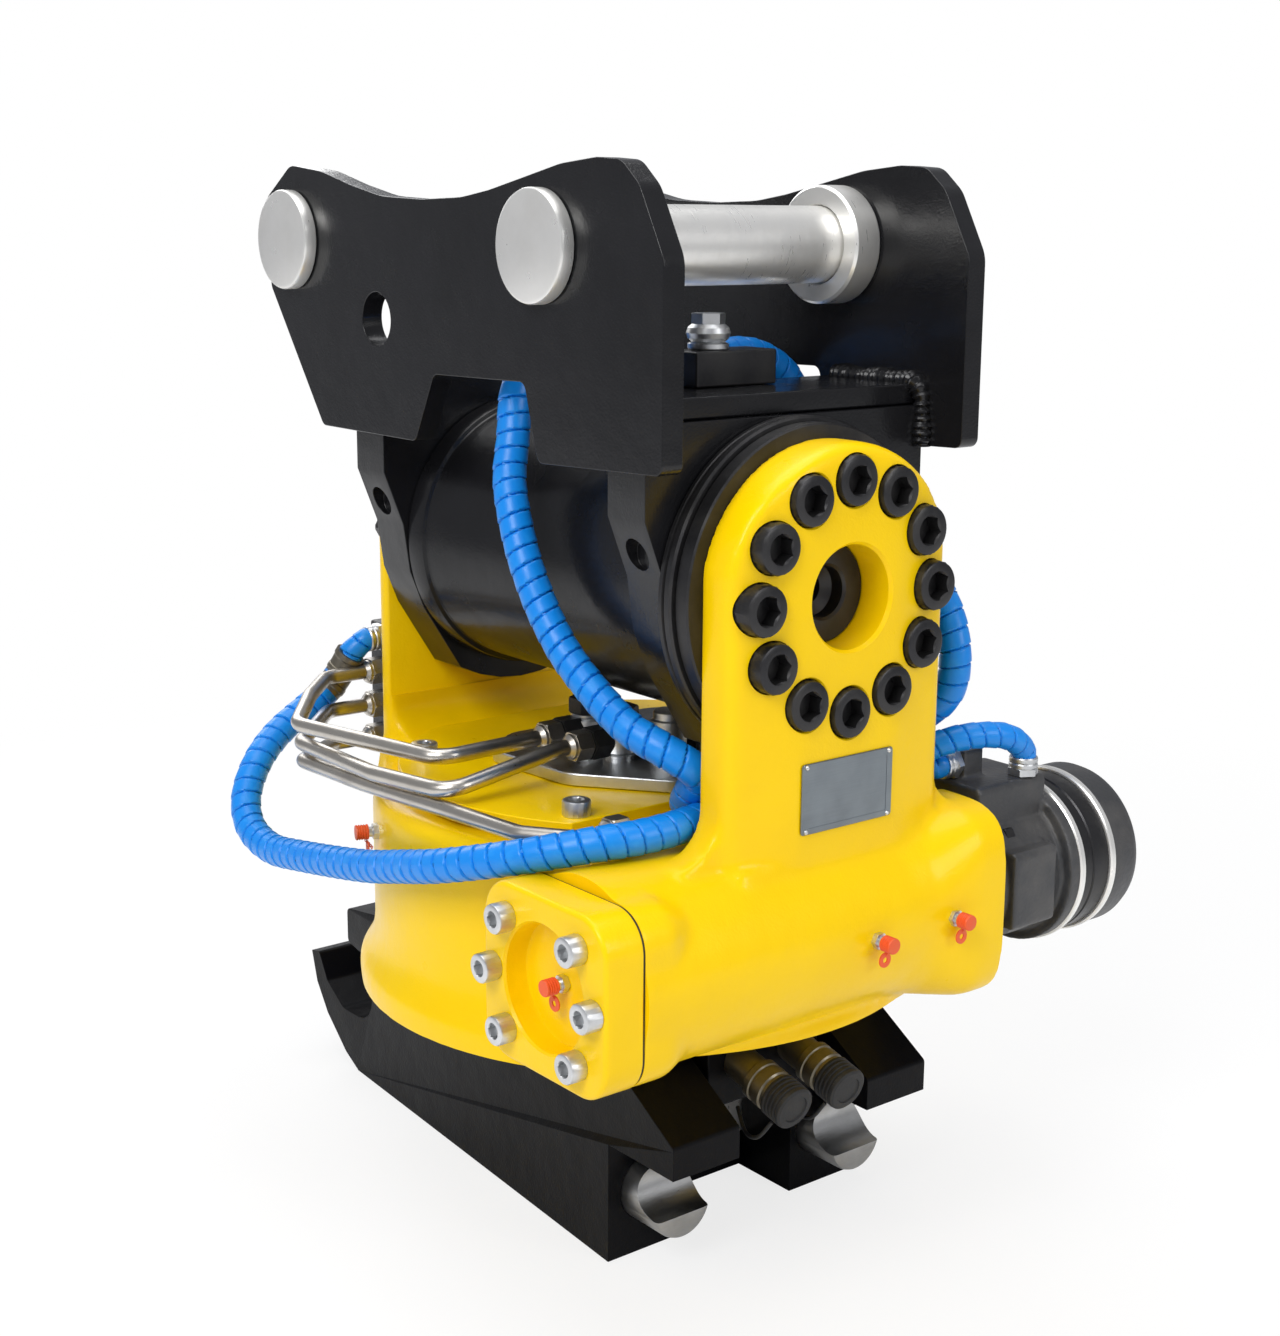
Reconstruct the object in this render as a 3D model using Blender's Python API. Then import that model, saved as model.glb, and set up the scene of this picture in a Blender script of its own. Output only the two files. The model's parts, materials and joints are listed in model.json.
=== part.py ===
"""Tiltrotator: a coupler for an excavator arm that tilts sideways and turns without end.

Metres, +Z up. The turning axis is the Z axis, and the underside of the lower coupler is Z = 0.
The tilting axis runs along X at TILT_Z. +X points to the thick front ear, and the worm cap
lies on the -Y side. The lower coupler stands still here; the housing turns on it, and the
black hitch tilts in the housing.
"""
import math

import bpy
import bmesh
from mathutils import Matrix, Vector

# Gaps between pieces that touch, and between pieces that turn in each other
SEAT = 0.0003
RUN = 0.0005
SMALL_SIDES = 10
SHANK_SIDES = 6
COUNTERBORE_SIDES = 11
SIDES = 24
LARGE_SIDES = 36
BODY_SIDES = 44
SHAFT_SIDES = 30
BOLT_PHASE = math.radians(7)
ARC_STEP = math.radians(22.5)
FLAT_ANGLE = math.radians(0.05)

# Axes
TILT_Z = 0.398
WORM_X = 0.146
WORM_Z = 0.205

# Lower coupler: a cast deck with a hook at the rear and two lugs at the front
DECK_TOP = 0.128
DECK_HALF_REAR = 0.075
DECK_HALF_FRONT = 0.100
DECK_TAPER_START = -0.206
DECK_TAPER_END = 0.098
DECK_BOTTOM_REAR = -0.227
LOWER_PIN_RADIUS = 0.020
REAR_SEAT_X = -0.226
REAR_SEAT_Z = 0.062
FRONT_SEAT_X = 0.130
FRONT_SEAT_Z = 0.0545
HOOK_TIP_X = -0.2895
HOOK_TIP_Z = 0.073
NOSE_X = -0.237
NOSE_Z = 0.095
NOSE_TOP = 0.120
BLOCK_FRONT_X = 0.157
BLOCK_EDGE_Z = 0.094
BLOCK_SLOPE = math.radians(31.5)
BLOCK_GAP_HALF = 0.051
LUG_INNER = 0.044
WEB_FRONT_X = 0.050

# Lock of the lower coupler: two round tongues on one crosshead
TONGUE_RADIUS = 0.0204
TONGUE_Y = 0.0698
TONGUE_Z = 0.040
TONGUE_TIP_X = 0.131
TONGUE_BACK_X = 0.050
LOCK_TRAVEL = 0.035
CROSSHEAD_LENGTH = 0.018
CROSSHEAD_HEIGHT = 0.034
LOCK_ROD_RADIUS = 0.008
LOCK_BORE = 0.0155
LOCK_CYLINDER_RADIUS = 0.021
LOCK_CYLINDER_REAR = -0.140
LOCK_CYLINDER_FRONT = -0.022
LOCK_PISTON_LENGTH = 0.010
LOCK_PISTON_X = -0.076

# Quick couplings at the front of the deck
COUPLING_Y = 0.021
COUPLING_FACE_X = 0.171
COUPLING_FACE_Z = 0.1005
COUPLING_DIP = math.radians(15)
COUPLING_RADIUS = 0.012
DUST_CAP_RADIUS = 0.0135
DUST_CAP_LENGTH = 0.016
FEED_LENGTH = 0.022
FEED_HALF = 0.044
FEED_BOTTOM = 0.088

# Slewing gear
WHEEL_TEETH = 40
MODULE = 0.006
PRESSURE_ANGLE = math.radians(20)
BACKLASH = 0.0010
WHEEL_FACE = 0.030
HUB_RADIUS = 0.095
UPPER_HUB_RADIUS = 0.070
HUB_TOP = 0.250
SLEEVE_RADIUS = 0.050
SLEEVE_TOP = 0.2570
SWIVEL_RADIUS = 0.038
SWIVEL_GROOVES = 3
SWIVEL_GROOVE_DEPTH = 0.003

# Worm
WORM_PITCH_RADIUS = 0.026
WORM_THREAD_HALF = 0.044
WORM_SHAFT_RADIUS = 0.016
WORM_BEARING_LENGTH = 0.018
TUNNEL_RADIUS = 0.034

# Rotor housing
BODY_RADIUS = 0.166
BODY_BOTTOM = 0.134
BODY_TOP = 0.258
RIM_RADIUS = 0.176
RIM_Z = 0.145
CAVITY_RADIUS = 0.131
CAVITY_TOP = 0.225
TOP_BORE = 0.085
CASE_RADIUS = 0.057
CASE_SEAM_Y = -0.155
CASE_BOSS_LENGTH = 0.024
CASE_END_Y = 0.110
CASE_FLANGE_HALF = 0.060
EAR_HALF = 0.082
EAR_ROUND = 0.084
FRONT_EAR_INNER = 0.154
FRONT_EAR_FACE = 0.184
REAR_EAR_INNER = -0.163
REAR_EAR_FACE = -0.184
EAR_CROWN = 0.008
EAR_FLAT_HALF = 0.036
EAR_EDGE = 0.009
EAR_FOOT_RADIUS = 0.026
EAR_BORE = 0.029

# Bolt circles of the tilt shaft, and the bolts
EAR_BOLTS = 12
EAR_BOLT_CIRCLE = 0.064
EAR_BOLT_RADIUS = 0.008
EAR_HEAD_RADIUS = 0.012
EAR_HEAD_HEIGHT = 0.016
EAR_COUNTERBORE = 0.013
FRONT_HEAD_TOP = 0.181
REAR_HEAD_TOP = -0.187
SOCKET_WIDTH = 0.014
SOCKET_DEPTH = 0.008

# Worm cap
CAP_OUTER_Y = -0.181
CAP_HALF_X = 0.054
CAP_HALF_Z = 0.050
CAP_CORNER = 0.022
CAP_RECESS_RADIUS = 0.035
CAP_RECESS_DEPTH = 0.015
CAP_BOLT_CIRCLE = 0.0445
CAP_BOLT_ANGLES = (0, 45, 135, 180, 225, 315)
CAP_HEAD_RADIUS = 0.0082
CAP_HEAD_HEIGHT = 0.010

# Top cover and the swivel on it
COVER_RADIUS = 0.150
COVER_THICK = 0.012
COVER_CUT_FRONT = 0.090
COVER_CUT_REAR = -0.137
COVER_BOLT_CIRCLE = 0.134
COVER_BOLT_ANGLES = (54, 126, 180, 234, 306)
TORQUE_THICK = 0.008
HEAD_HEIGHT = 0.025

# Hydraulic motor on the worm
MOTOR_RADIUS = 0.046
MOTOR_SIDES = 30
MOTOR_CLEARANCE = 0.007
MOTOR_PORT_END = 0.188
MOTOR_RING_END = 0.222
MOTOR_END = 0.250
MOTOR_PORT_TOP = 0.266
MOTOR_SHAFT_RADIUS = 0.012
MOTOR_SHAFT_END = 0.165

# Tilt actuator
BARREL_RADIUS = 0.083
BARREL_BORE = 0.070
COLLAR_RADIUS = 0.087
COLLAR_LENGTH = 0.016
SHAFT_FLANGE_RADIUS = 0.092
SHAFT_FLANGE_THICK = 0.0104
GLAND_RADIUS = 0.095
GLAND_THICK = 0.0107
GLAND_SPIGOT = 0.014
JOURNAL_RADIUS = 0.045
JOURNAL_START = 0.042
HELIX_STARTS = 6
HELIX_LEAD = 0.330
HELIX_ROOT = 0.034
HELIX_CORE = 0.031
HELIX_TIP = 0.038
HELIX_REAR = -0.104
HELIX_GAP = 0.0010
HELIX_LAYER = 0.015
TAIL_RADIUS = 0.0286
TAIL_END = -0.172
NOSE_END = 0.162
SHAFT_PORT_RADIUS = 0.012
END_FLANGE_RADIUS = 0.080
END_FLANGE_THICK = 0.0217
END_SPIGOT_LENGTH = 0.020
PISTON_REAR = -0.065
PISTON_HEAD_LENGTH = 0.020
PISTON_NUT_END = 0.0
PISTON_END = 0.075
SLEEVE_BORE = 0.047
SPLINES = 12
SPLINE_TIP = 0.058
SPLINE_ROOT = 0.054
SPLINE_GAP = 0.0005
SPLINE_RING_START = 0.015
SPLINE_RING_END = 0.055

# Hitch: two side plates, two end plates and a cross plate
PLATE_OUTER = 0.1175
PLATE_THICK = 0.014
PIN_RADIUS = 0.0225
PIN_Z = 0.583
FRONT_PIN_X = 0.0599
REAR_PIN_X = -0.2081
PIN_HEAD_RADIUS = 0.0307
PIN_HEAD_PROUD = 0.009
PIN_FAR_PROUD = 0.006
COLLAR_OUTER = 0.0346
COLLAR_WIDTH = 0.020
SIDE_HOLE_RADIUS = 0.016
SIDE_HOLE_X = -0.1098
SIDE_HOLE_Z = 0.5375
END_PLATE_THICK = 0.032
END_PLATE_ARC = 0.100
HITCH_TOP = 0.505
CROSS_THICK = 0.012
CROSS_REAR_X = 0.052
CROSS_FRONT_X = 0.127
EDGE_HOLE_RADIUS = 0.009
EDGE_HOLE_Z = 0.422

# Port blocks
SWIVEL_HEAD_Y = -0.058
REAR_BLOCK_NEAR_Y = -0.062
REAR_PORT_X = -0.203
FRONT_BLOCK_REAR = 0.092
FRONT_BLOCK_FRONT = 0.147
FRONT_BLOCK_NEAR_Y = -0.040
FRONT_BLOCK_FAR_Y = 0.060
FRONT_BLOCK_HEIGHT = 0.028
HITCH_BLOCK_REAR = 0.058
HITCH_BLOCK_FRONT = 0.086
PIPE_BOSS_X = 0.118
PIPE_BOSS_Y = -0.105
PIPE_BOSS_Z = 0.2705
MOTOR_ELBOW_Y = 0.1305

# Pipes and hoses
PIPE_RADIUS = 0.0040
PIPE_BEND = 0.016
HOSE_RADIUS = 0.0078
NUT_WIDTH = 0.019
NUT_LENGTH = 0.015

YELLOW = ("cast_yellow", (1.0, 0.73, 0.0), 0.35, 0.0)
BLACK = ("satin_black", (0.045, 0.045, 0.047), 0.4, 0.0)
STEEL = ("bright_steel", (0.66, 0.66, 0.64), 0.3, 1.0)
BRONZE = ("bronze", (0.66, 0.42, 0.18), 0.4, 1.0)
OXIDE = ("black_oxide", (0.03, 0.03, 0.033), 0.35, 0.8)
BLUE = ("blue_guard", (0.01, 0.23, 0.80), 0.45, 0.0)
RUBBER = ("rubber", (0.02, 0.02, 0.02), 0.7, 0.0)
CASTING = ("motor_casting", (0.10, 0.10, 0.10), 0.5, 0.6)
ORANGE = ("orange_cap", (0.85, 0.13, 0.02), 0.5, 0.0)

AXIS_TURN = {
    "X": Matrix.Rotation(math.radians(90), 4, "Y"),
    "Y": Matrix.Rotation(math.radians(-90), 4, "X"),
    "Z": Matrix.Identity(4),
}


def clear_scene():
    """Remove every object of the open file."""
    for item in list(bpy.data.objects):
        bpy.data.objects.remove(item, do_unlink=True)


def material(finish):
    """Return the material of a finish (name, colour, roughness, metallic), made once."""
    name, colour, roughness, metallic = finish
    if name in bpy.data.materials:
        return bpy.data.materials[name]
    made = bpy.data.materials.new(name)
    made.use_nodes = True
    shader = made.node_tree.nodes["Principled BSDF"]
    shader.inputs["Base Color"].default_value = (*colour, 1.0)
    shader.inputs["Roughness"].default_value = roughness
    shader.inputs["Metallic"].default_value = metallic
    return made


def add_object(name, shape, finish):
    """Turn a bmesh into an object with outward faces, smooth where it is round."""
    bmesh.ops.recalc_face_normals(shape, faces=shape.faces)
    mesh = bpy.data.meshes.new(name)
    shape.to_mesh(mesh)
    shape.free()
    item = bpy.data.objects.new(name, mesh)
    item.data.materials.append(material(finish))
    bpy.context.scene.collection.objects.link(item)
    return item


def smooth(item, angle=35):
    """Shade a piece smooth, with its sharp edges kept."""
    item.data.shade_smooth()
    item.data.set_sharp_from_angle(angle=math.radians(angle))
    return item


def rounded(corners):
    """Close an outline whose corners are (u, v) or (u, v, radius); round ones become arcs."""
    points = []
    count = len(corners)
    for index, corner in enumerate(corners):
        here = Vector(corner[:2])
        radius = corner[2] if len(corner) > 2 else 0.0
        if radius <= 0.0:
            points.append(tuple(here))
            continue
        before = (Vector(corners[index - 1][:2]) - here).normalized()
        after = (Vector(corners[(index + 1) % count][:2]) - here).normalized()
        half = before.angle(after) / 2
        centre = here + (before + after).normalized() * radius / math.sin(half)
        start = here + before * radius / math.tan(half) - centre
        end = here + after * radius / math.tan(half) - centre
        sweep = math.atan2(start.x * end.y - start.y * end.x, start.dot(end))
        steps = max(2, math.ceil(abs(sweep) / ARC_STEP))
        first = math.atan2(start.y, start.x)
        for step in range(steps + 1):
            angle = first + sweep * step / steps
            points.append((centre.x + radius * math.cos(angle),
                           centre.y + radius * math.sin(angle)))
    return points


def lobes(count, root, tip, root_half, tip_half, phase=0.0):
    """Outline of a round bar with straight-flanked lobes; half widths are shares of a pitch."""
    pitch = 2 * math.pi / count
    points = []
    for index in range(count):
        middle = phase + index * pitch
        for radius, offset in ((root, -root_half), (tip, -tip_half),
                               (tip, tip_half), (root, root_half)):
            angle = middle + offset * pitch
            points.append((radius * math.cos(angle), radius * math.sin(angle)))
    return points


def place_point(axis, u, v, along):
    """Put an outline point (u, v) and a distance along an axis into space."""
    if axis == "X":
        return Vector((along, u, v))
    if axis == "Y":
        return Vector((u, along, v))
    return Vector((u, v, along))


def prism(name, outline, axis, low, high, finish, centre=(0.0, 0.0)):
    """Extrude an outline along an axis from low to high."""
    shape = bmesh.new()
    ring = [shape.verts.new(place_point(axis, u + centre[0], v + centre[1], low))
            for u, v in outline]
    face = shape.faces.new(ring)
    grown = bmesh.ops.extrude_face_region(shape, geom=[face])
    moved = [item for item in grown["geom"] if isinstance(item, bmesh.types.BMVert)]
    bmesh.ops.translate(shape, verts=moved, vec=place_point(axis, 0.0, 0.0, high - low))
    return add_object(name, shape, finish)


def loft(name, sections, axis, finish):
    """Skin sections (along, outline), each outline with the same number of points.

    Each strip is split along its shorter diagonal, so a twisted skin stays close to its shape.
    """
    shape = bmesh.new()
    rings = [[shape.verts.new(place_point(axis, u, v, along)) for u, v in outline]
             for along, outline in sections]
    shape.faces.new(rings[0])
    shape.faces.new(rings[-1])
    for low, high in zip(rings, rings[1:]):
        for index, corner in enumerate(low):
            after = (index + 1) % len(low)
            corners = [corner, low[after], high[after], high[index]]
            if (low[after].co - high[index].co).length < (corner.co - high[after].co).length:
                corners = corners[1:] + corners[:1]
            shape.faces.new((corners[0], corners[1], corners[2]))
            shape.faces.new((corners[0], corners[2], corners[3]))
    return add_object(name, shape, finish)


def twisted(name, outline, start, end, turn_per_metre, layer, axis, centre, finish):
    """Extrude an outline along an axis while it turns, as a helix or a slanted tooth does."""
    layers = max(1, math.ceil((end - start) / layer))
    sections = []
    for index in range(layers + 1):
        along = start + (end - start) * index / layers
        angle = turn_per_metre * along
        cosine = math.cos(angle)
        sine = math.sin(angle)
        section = [(u * cosine - v * sine + centre[0], u * sine + v * cosine + centre[1])
                   for u, v in outline]
        sections.append((along, section))
    return loft(name, sections, axis, finish)


def turned(name, profile, finish, axis="Z", centre=(0.0, 0.0, 0.0), sides=SIDES, tilt=None,
           phase=0.0):
    """Turn a profile of (radius, along) points about an axis through a centre.

    A profile that starts and ends at radius 0 makes a solid bar; any other is closed into a
    ring. A tilt matrix, where given, replaces the turn that points the axis.
    """
    shape = bmesh.new()
    solid = profile[0][0] == 0.0 and profile[-1][0] == 0.0
    turn = tilt if tilt is not None else AXIS_TURN[axis]
    frame = Matrix.Translation(centre) @ turn
    rings = []
    for radius, along in profile:
        if radius == 0.0:
            rings.append([shape.verts.new(frame @ Vector((0.0, 0.0, along)))])
            continue
        ring = []
        for k in range(sides):
            angle = phase + 2 * math.pi * k / sides
            ring.append(shape.verts.new(frame @ Vector((
                radius * math.cos(angle), radius * math.sin(angle), along))))
        rings.append(ring)
    if solid and profile[0][1] == profile[1][1]:
        shape.verts.remove(rings.pop(0)[0])
        shape.faces.new(rings[0])
    if solid and profile[-1][1] == profile[-2][1]:
        shape.verts.remove(rings.pop()[0])
        shape.faces.new(rings[-1])
    pairs = list(zip(rings, rings[1:]))
    if not solid:
        pairs.append((rings[-1], rings[0]))
    for low, high in pairs:
        for k in range(sides):
            after = (k + 1) % sides
            corners = [low[k % len(low)], low[after % len(low)],
                       high[after % len(high)], high[k % len(high)]]
            unique = list(dict.fromkeys(corners))
            if len(unique) > 2:
                shape.faces.new(unique)
    return smooth(add_object(name, shape, finish))


def bar(name, radius, low, high, finish, axis="Z", centre=(0.0, 0.0, 0.0), sides=SIDES,
        phase=0.0):
    """A plain round bar from low to high along an axis."""
    profile = [(0.0, low), (radius, low), (radius, high), (0.0, high)]
    return turned(name, profile, finish, axis, centre, sides, None, phase)


def ring_piece(name, outer, inner, low, high, finish, axis="Z", centre=(0.0, 0.0, 0.0),
               sides=LARGE_SIDES):
    """A plain ring from low to high along an axis."""
    profile = [(outer, low), (outer, high), (inner, high), (inner, low)]
    return turned(name, profile, finish, axis, centre, sides)


def block(name, low, high, finish):
    """A block between two corners."""
    outline = [(low[0], low[1]), (high[0], low[1]), (high[0], high[1]), (low[0], high[1])]
    return prism(name, outline, "Z", low[2], high[2], finish)


def combine(target, tools, operation):
    """Join or cut the target with each tool in turn, and drop the tools."""
    for tool in tools:
        step = target.modifiers.new(operation.lower(), "BOOLEAN")
        step.object = tool
        step.operation = operation
        step.solver = "EXACT"
    bpy.context.view_layer.update()
    graph = bpy.context.evaluated_depsgraph_get()
    made = bpy.data.meshes.new_from_object(target.evaluated_get(graph))
    target.modifiers.clear()
    tidy = bmesh.new()
    tidy.from_mesh(made)
    bmesh.ops.dissolve_limit(tidy, angle_limit=FLAT_ANGLE, use_dissolve_boundaries=False,
                             verts=tidy.verts, edges=tidy.edges)
    tidy.to_mesh(made)
    tidy.free()
    target.data = made
    for tool in tools:
        bpy.data.objects.remove(tool, do_unlink=True)
    return smooth(target)


def join(target, *tools):
    """Unite the target with the tools."""
    return combine(target, tools, "UNION")


def cut(target, *tools):
    """Cut the tools out of the target."""
    return combine(target, tools, "DIFFERENCE")


def keep_common(target, *tools):
    """Keep what the target shares with each tool."""
    return combine(target, tools, "INTERSECT")


def cluster(name, items):
    """Put separate cutters or bolts, which don't touch each other, into one object."""
    shape = bmesh.new()
    for item in items:
        shape.from_mesh(item.data)
    finish_material = items[0].data.materials[0]
    mesh = bpy.data.meshes.new(name)
    shape.to_mesh(mesh)
    shape.free()
    mesh.materials.append(finish_material)
    made = bpy.data.objects.new(name, mesh)
    bpy.context.scene.collection.objects.link(made)
    for item in items:
        bpy.data.objects.remove(item, do_unlink=True)
    return made


def hexagon(width):
    """Outline of a hexagon by its width across flats."""
    radius = width / math.sqrt(3)
    return [(radius * math.cos(math.radians(60 * k)), radius * math.sin(math.radians(60 * k)))
            for k in range(6)]


def on_circle(radius, degrees):
    """Point on a circle at an angle."""
    angle = math.radians(degrees)
    return radius * math.cos(angle), radius * math.sin(angle)


def bent(points, radius):
    """Route of a bent pipe: straight runs with an arc of the given radius at each corner."""
    route = [Vector(points[0])]
    for before, corner, after in zip(points, points[1:], points[2:]):
        corner = Vector(corner)
        back = (Vector(before) - corner).normalized()
        ahead = (Vector(after) - corner).normalized()
        half = back.angle(ahead) / 2
        reach = radius / math.tan(half)
        centre = corner + (back + ahead).normalized() * radius / math.sin(half)
        start = corner + back * reach - centre
        end = corner + ahead * reach - centre
        turn = start.angle(end)
        steps = max(2, math.ceil(turn / math.radians(30)))
        for step in range(steps + 1):
            share = step / steps
            part = (start * math.sin((1 - share) * turn) + end * math.sin(share * turn))
            route.append(centre + part / math.sin(turn))
    route.append(Vector(points[-1]))
    return route


def flowing(points, spacing):
    """Route of a hose: a smooth curve through the given points, read at even steps."""
    knots = [Vector(point) for point in points]
    padded = [knots[0] * 2 - knots[1]] + knots + [knots[-1] * 2 - knots[-2]]
    fine = []
    for first, second, third, fourth in zip(padded, padded[1:], padded[2:], padded[3:]):
        for step in range(12):
            t = step / 12
            fine.append(0.5 * (2 * second + (third - first) * t
                               + (2 * first - 5 * second + 4 * third - fourth) * t * t
                               + (3 * second - first - 3 * third + fourth) * t ** 3))
    fine.append(knots[-1])
    lengths = [0.0]
    for before, after in zip(fine, fine[1:]):
        lengths.append(lengths[-1] + (after - before).length)
    count = max(2, round(lengths[-1] / spacing))
    route = []
    index = 0
    for step in range(count + 1):
        goal = lengths[-1] * step / count
        while index < len(fine) - 2 and lengths[index + 1] < goal:
            index += 1
        span = lengths[index + 1] - lengths[index]
        route.append(fine[index].lerp(fine[index + 1], (goal - lengths[index]) / span))
    return route


def tube(name, route, radius, finish):
    """A round tube along a route, with closed ends."""
    curve = bpy.data.curves.new(name, "CURVE")
    curve.dimensions = "3D"
    curve.bevel_depth = radius
    curve.bevel_resolution = 2
    curve.use_fill_caps = True
    spline = curve.splines.new("POLY")
    spline.points.add(len(route) - 1)
    for point, place in zip(spline.points, route):
        point.co = (*place, 1.0)
    curve.materials.append(material(finish))
    item = bpy.data.objects.new(name, curve)
    bpy.context.scene.collection.objects.link(item)
    return item


def pipe(name, points):
    """A bent steel pipe with the union nut of each of its ends."""
    wire = tube(name, bent(points, PIPE_BEND), PIPE_RADIUS, STEEL)
    bpy.context.view_layer.update()
    graph = bpy.context.evaluated_depsgraph_get()
    mesh = bpy.data.meshes.new_from_object(wire.evaluated_get(graph))
    bpy.data.objects.remove(wire, do_unlink=True)
    item = bpy.data.objects.new(name, mesh)
    bpy.context.scene.collection.objects.link(item)
    nuts = []
    for end, inner in ((points[0], points[1]), (points[-1], points[-2])):
        direction = (Vector(inner) - Vector(end)).normalized()
        aim = direction.to_track_quat("Z", "X").to_matrix().to_4x4()
        start = Vector(end)
        nut = prism(name + "_nut", hexagon(NUT_WIDTH), "Z", 0.0, NUT_LENGTH, STEEL)
        nut.data.transform(Matrix.Translation(start) @ aim)
        nuts.append(nut)
    return join(item, *nuts)


def hang_on(carriers, carrier, *items):
    """Parent pieces to the empty that stands on their joint's axis."""
    for item in items:
        item.parent = carriers[carrier]
        item.matrix_parent_inverse = carriers[carrier].matrix_world.inverted()


def make_carriers():
    """Make one empty for each body that moves, on its joint's axis."""
    places = {
        "lock": (TONGUE_BACK_X, 0.0, TONGUE_Z),
        "housing": (0.0, 0.0, 0.0),
        "worm": (WORM_X, 0.0, WORM_Z),
        "hitch": (0.0, 0.0, TILT_Z),
        "tilt_piston": (0.0, 0.0, TILT_Z),
    }
    carriers = {}
    for name, place in places.items():
        item = bpy.data.objects.new(name + "_axis", None)
        item.location = place
        bpy.context.scene.collection.objects.link(item)
        carriers[name] = item
    bpy.context.view_layer.update()
    for name, carrier in (("worm", "housing"), ("hitch", "housing"), ("tilt_piston", "hitch")):
        hang_on(carriers, carrier, carriers[name])
    bpy.context.view_layer.update()
    return carriers


def deck_half(x):
    """Half width of the lower coupler at a place along it."""
    share = (x - DECK_TAPER_START) / (DECK_TAPER_END - DECK_TAPER_START)
    return DECK_HALF_REAR + (DECK_HALF_FRONT - DECK_HALF_REAR) * min(1.0, max(0.0, share))


def coupler_body():
    """The cast lower coupler: hook, deck, front blocks and lugs, with the lock's chamber."""
    block_under = FRONT_SEAT_Z + LOWER_PIN_RADIUS
    rise = (DECK_TOP - BLOCK_EDGE_Z) / math.tan(BLOCK_SLOPE)
    seat = LOWER_PIN_RADIUS + SEAT
    wall_x = REAR_SEAT_X + seat
    outline = rounded([
        (HOOK_TIP_X, HOOK_TIP_Z), (-0.283, 0.051), (-0.269, 0.031), (-0.244, 0.009),
        (DECK_BOTTOM_REAR, 0.0), (DECK_TAPER_END, 0.0), (DECK_TAPER_END, block_under),
        (BLOCK_FRONT_X, block_under), (BLOCK_FRONT_X, BLOCK_EDGE_Z, 0.003),
        (BLOCK_FRONT_X - rise, DECK_TOP), (-0.185, DECK_TOP), (NOSE_X, NOSE_TOP, 0.004),
        (NOSE_X, NOSE_Z, 0.004), (wall_x, NOSE_Z - 0.006, 0.004),
        (wall_x, REAR_SEAT_Z - seat, seat * 0.95), (-0.246, REAR_SEAT_Z - seat, 0.012),
        (-0.268, 0.056, 0.006), (-0.279, 0.075, 0.003),
    ])
    body = prism("coupler_body", outline, "Y", -1.0, 1.0, BLACK)
    for corner in body.data.vertices:
        corner.co.y = math.copysign(deck_half(corner.co.x), corner.co.y)
    far = 0.2
    web_gap = block("web_gap", (WEB_FRONT_X, -LUG_INNER, -far), (far, LUG_INNER, block_under),
                    BLACK)
    block_gap = block("block_gap", (DECK_TAPER_END, -BLOCK_GAP_HALF, block_under - 0.001),
                      (far, BLOCK_GAP_HALF, far), BLACK)
    bore = TONGUE_RADIUS + RUN
    tongue_bores = cluster("tongue_bores", [
        bar("bore", bore, TONGUE_BACK_X - LOCK_TRAVEL - 0.006, far, BLACK, "X",
            (0.0, side * TONGUE_Y, TONGUE_Z)) for side in (-1, 1)])
    half_height = CROSSHEAD_HEIGHT / 2 + 0.006
    chamber_rear = TONGUE_BACK_X - LOCK_TRAVEL - CROSSHEAD_LENGTH - 0.004
    chamber = block("chamber", (chamber_rear, -TONGUE_Y - 0.012, TONGUE_Z - half_height),
                    (WEB_FRONT_X + 0.002, TONGUE_Y + 0.012, TONGUE_Z + half_height), BLACK)
    tunnel = bar("tunnel", LOCK_CYLINDER_RADIUS + SEAT, LOCK_CYLINDER_REAR - SEAT,
                 chamber_rear + 0.002, BLACK, "X", (0.0, 0.0, TONGUE_Z))
    return cut(body, web_gap, block_gap, tongue_bores, chamber, tunnel)


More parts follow.
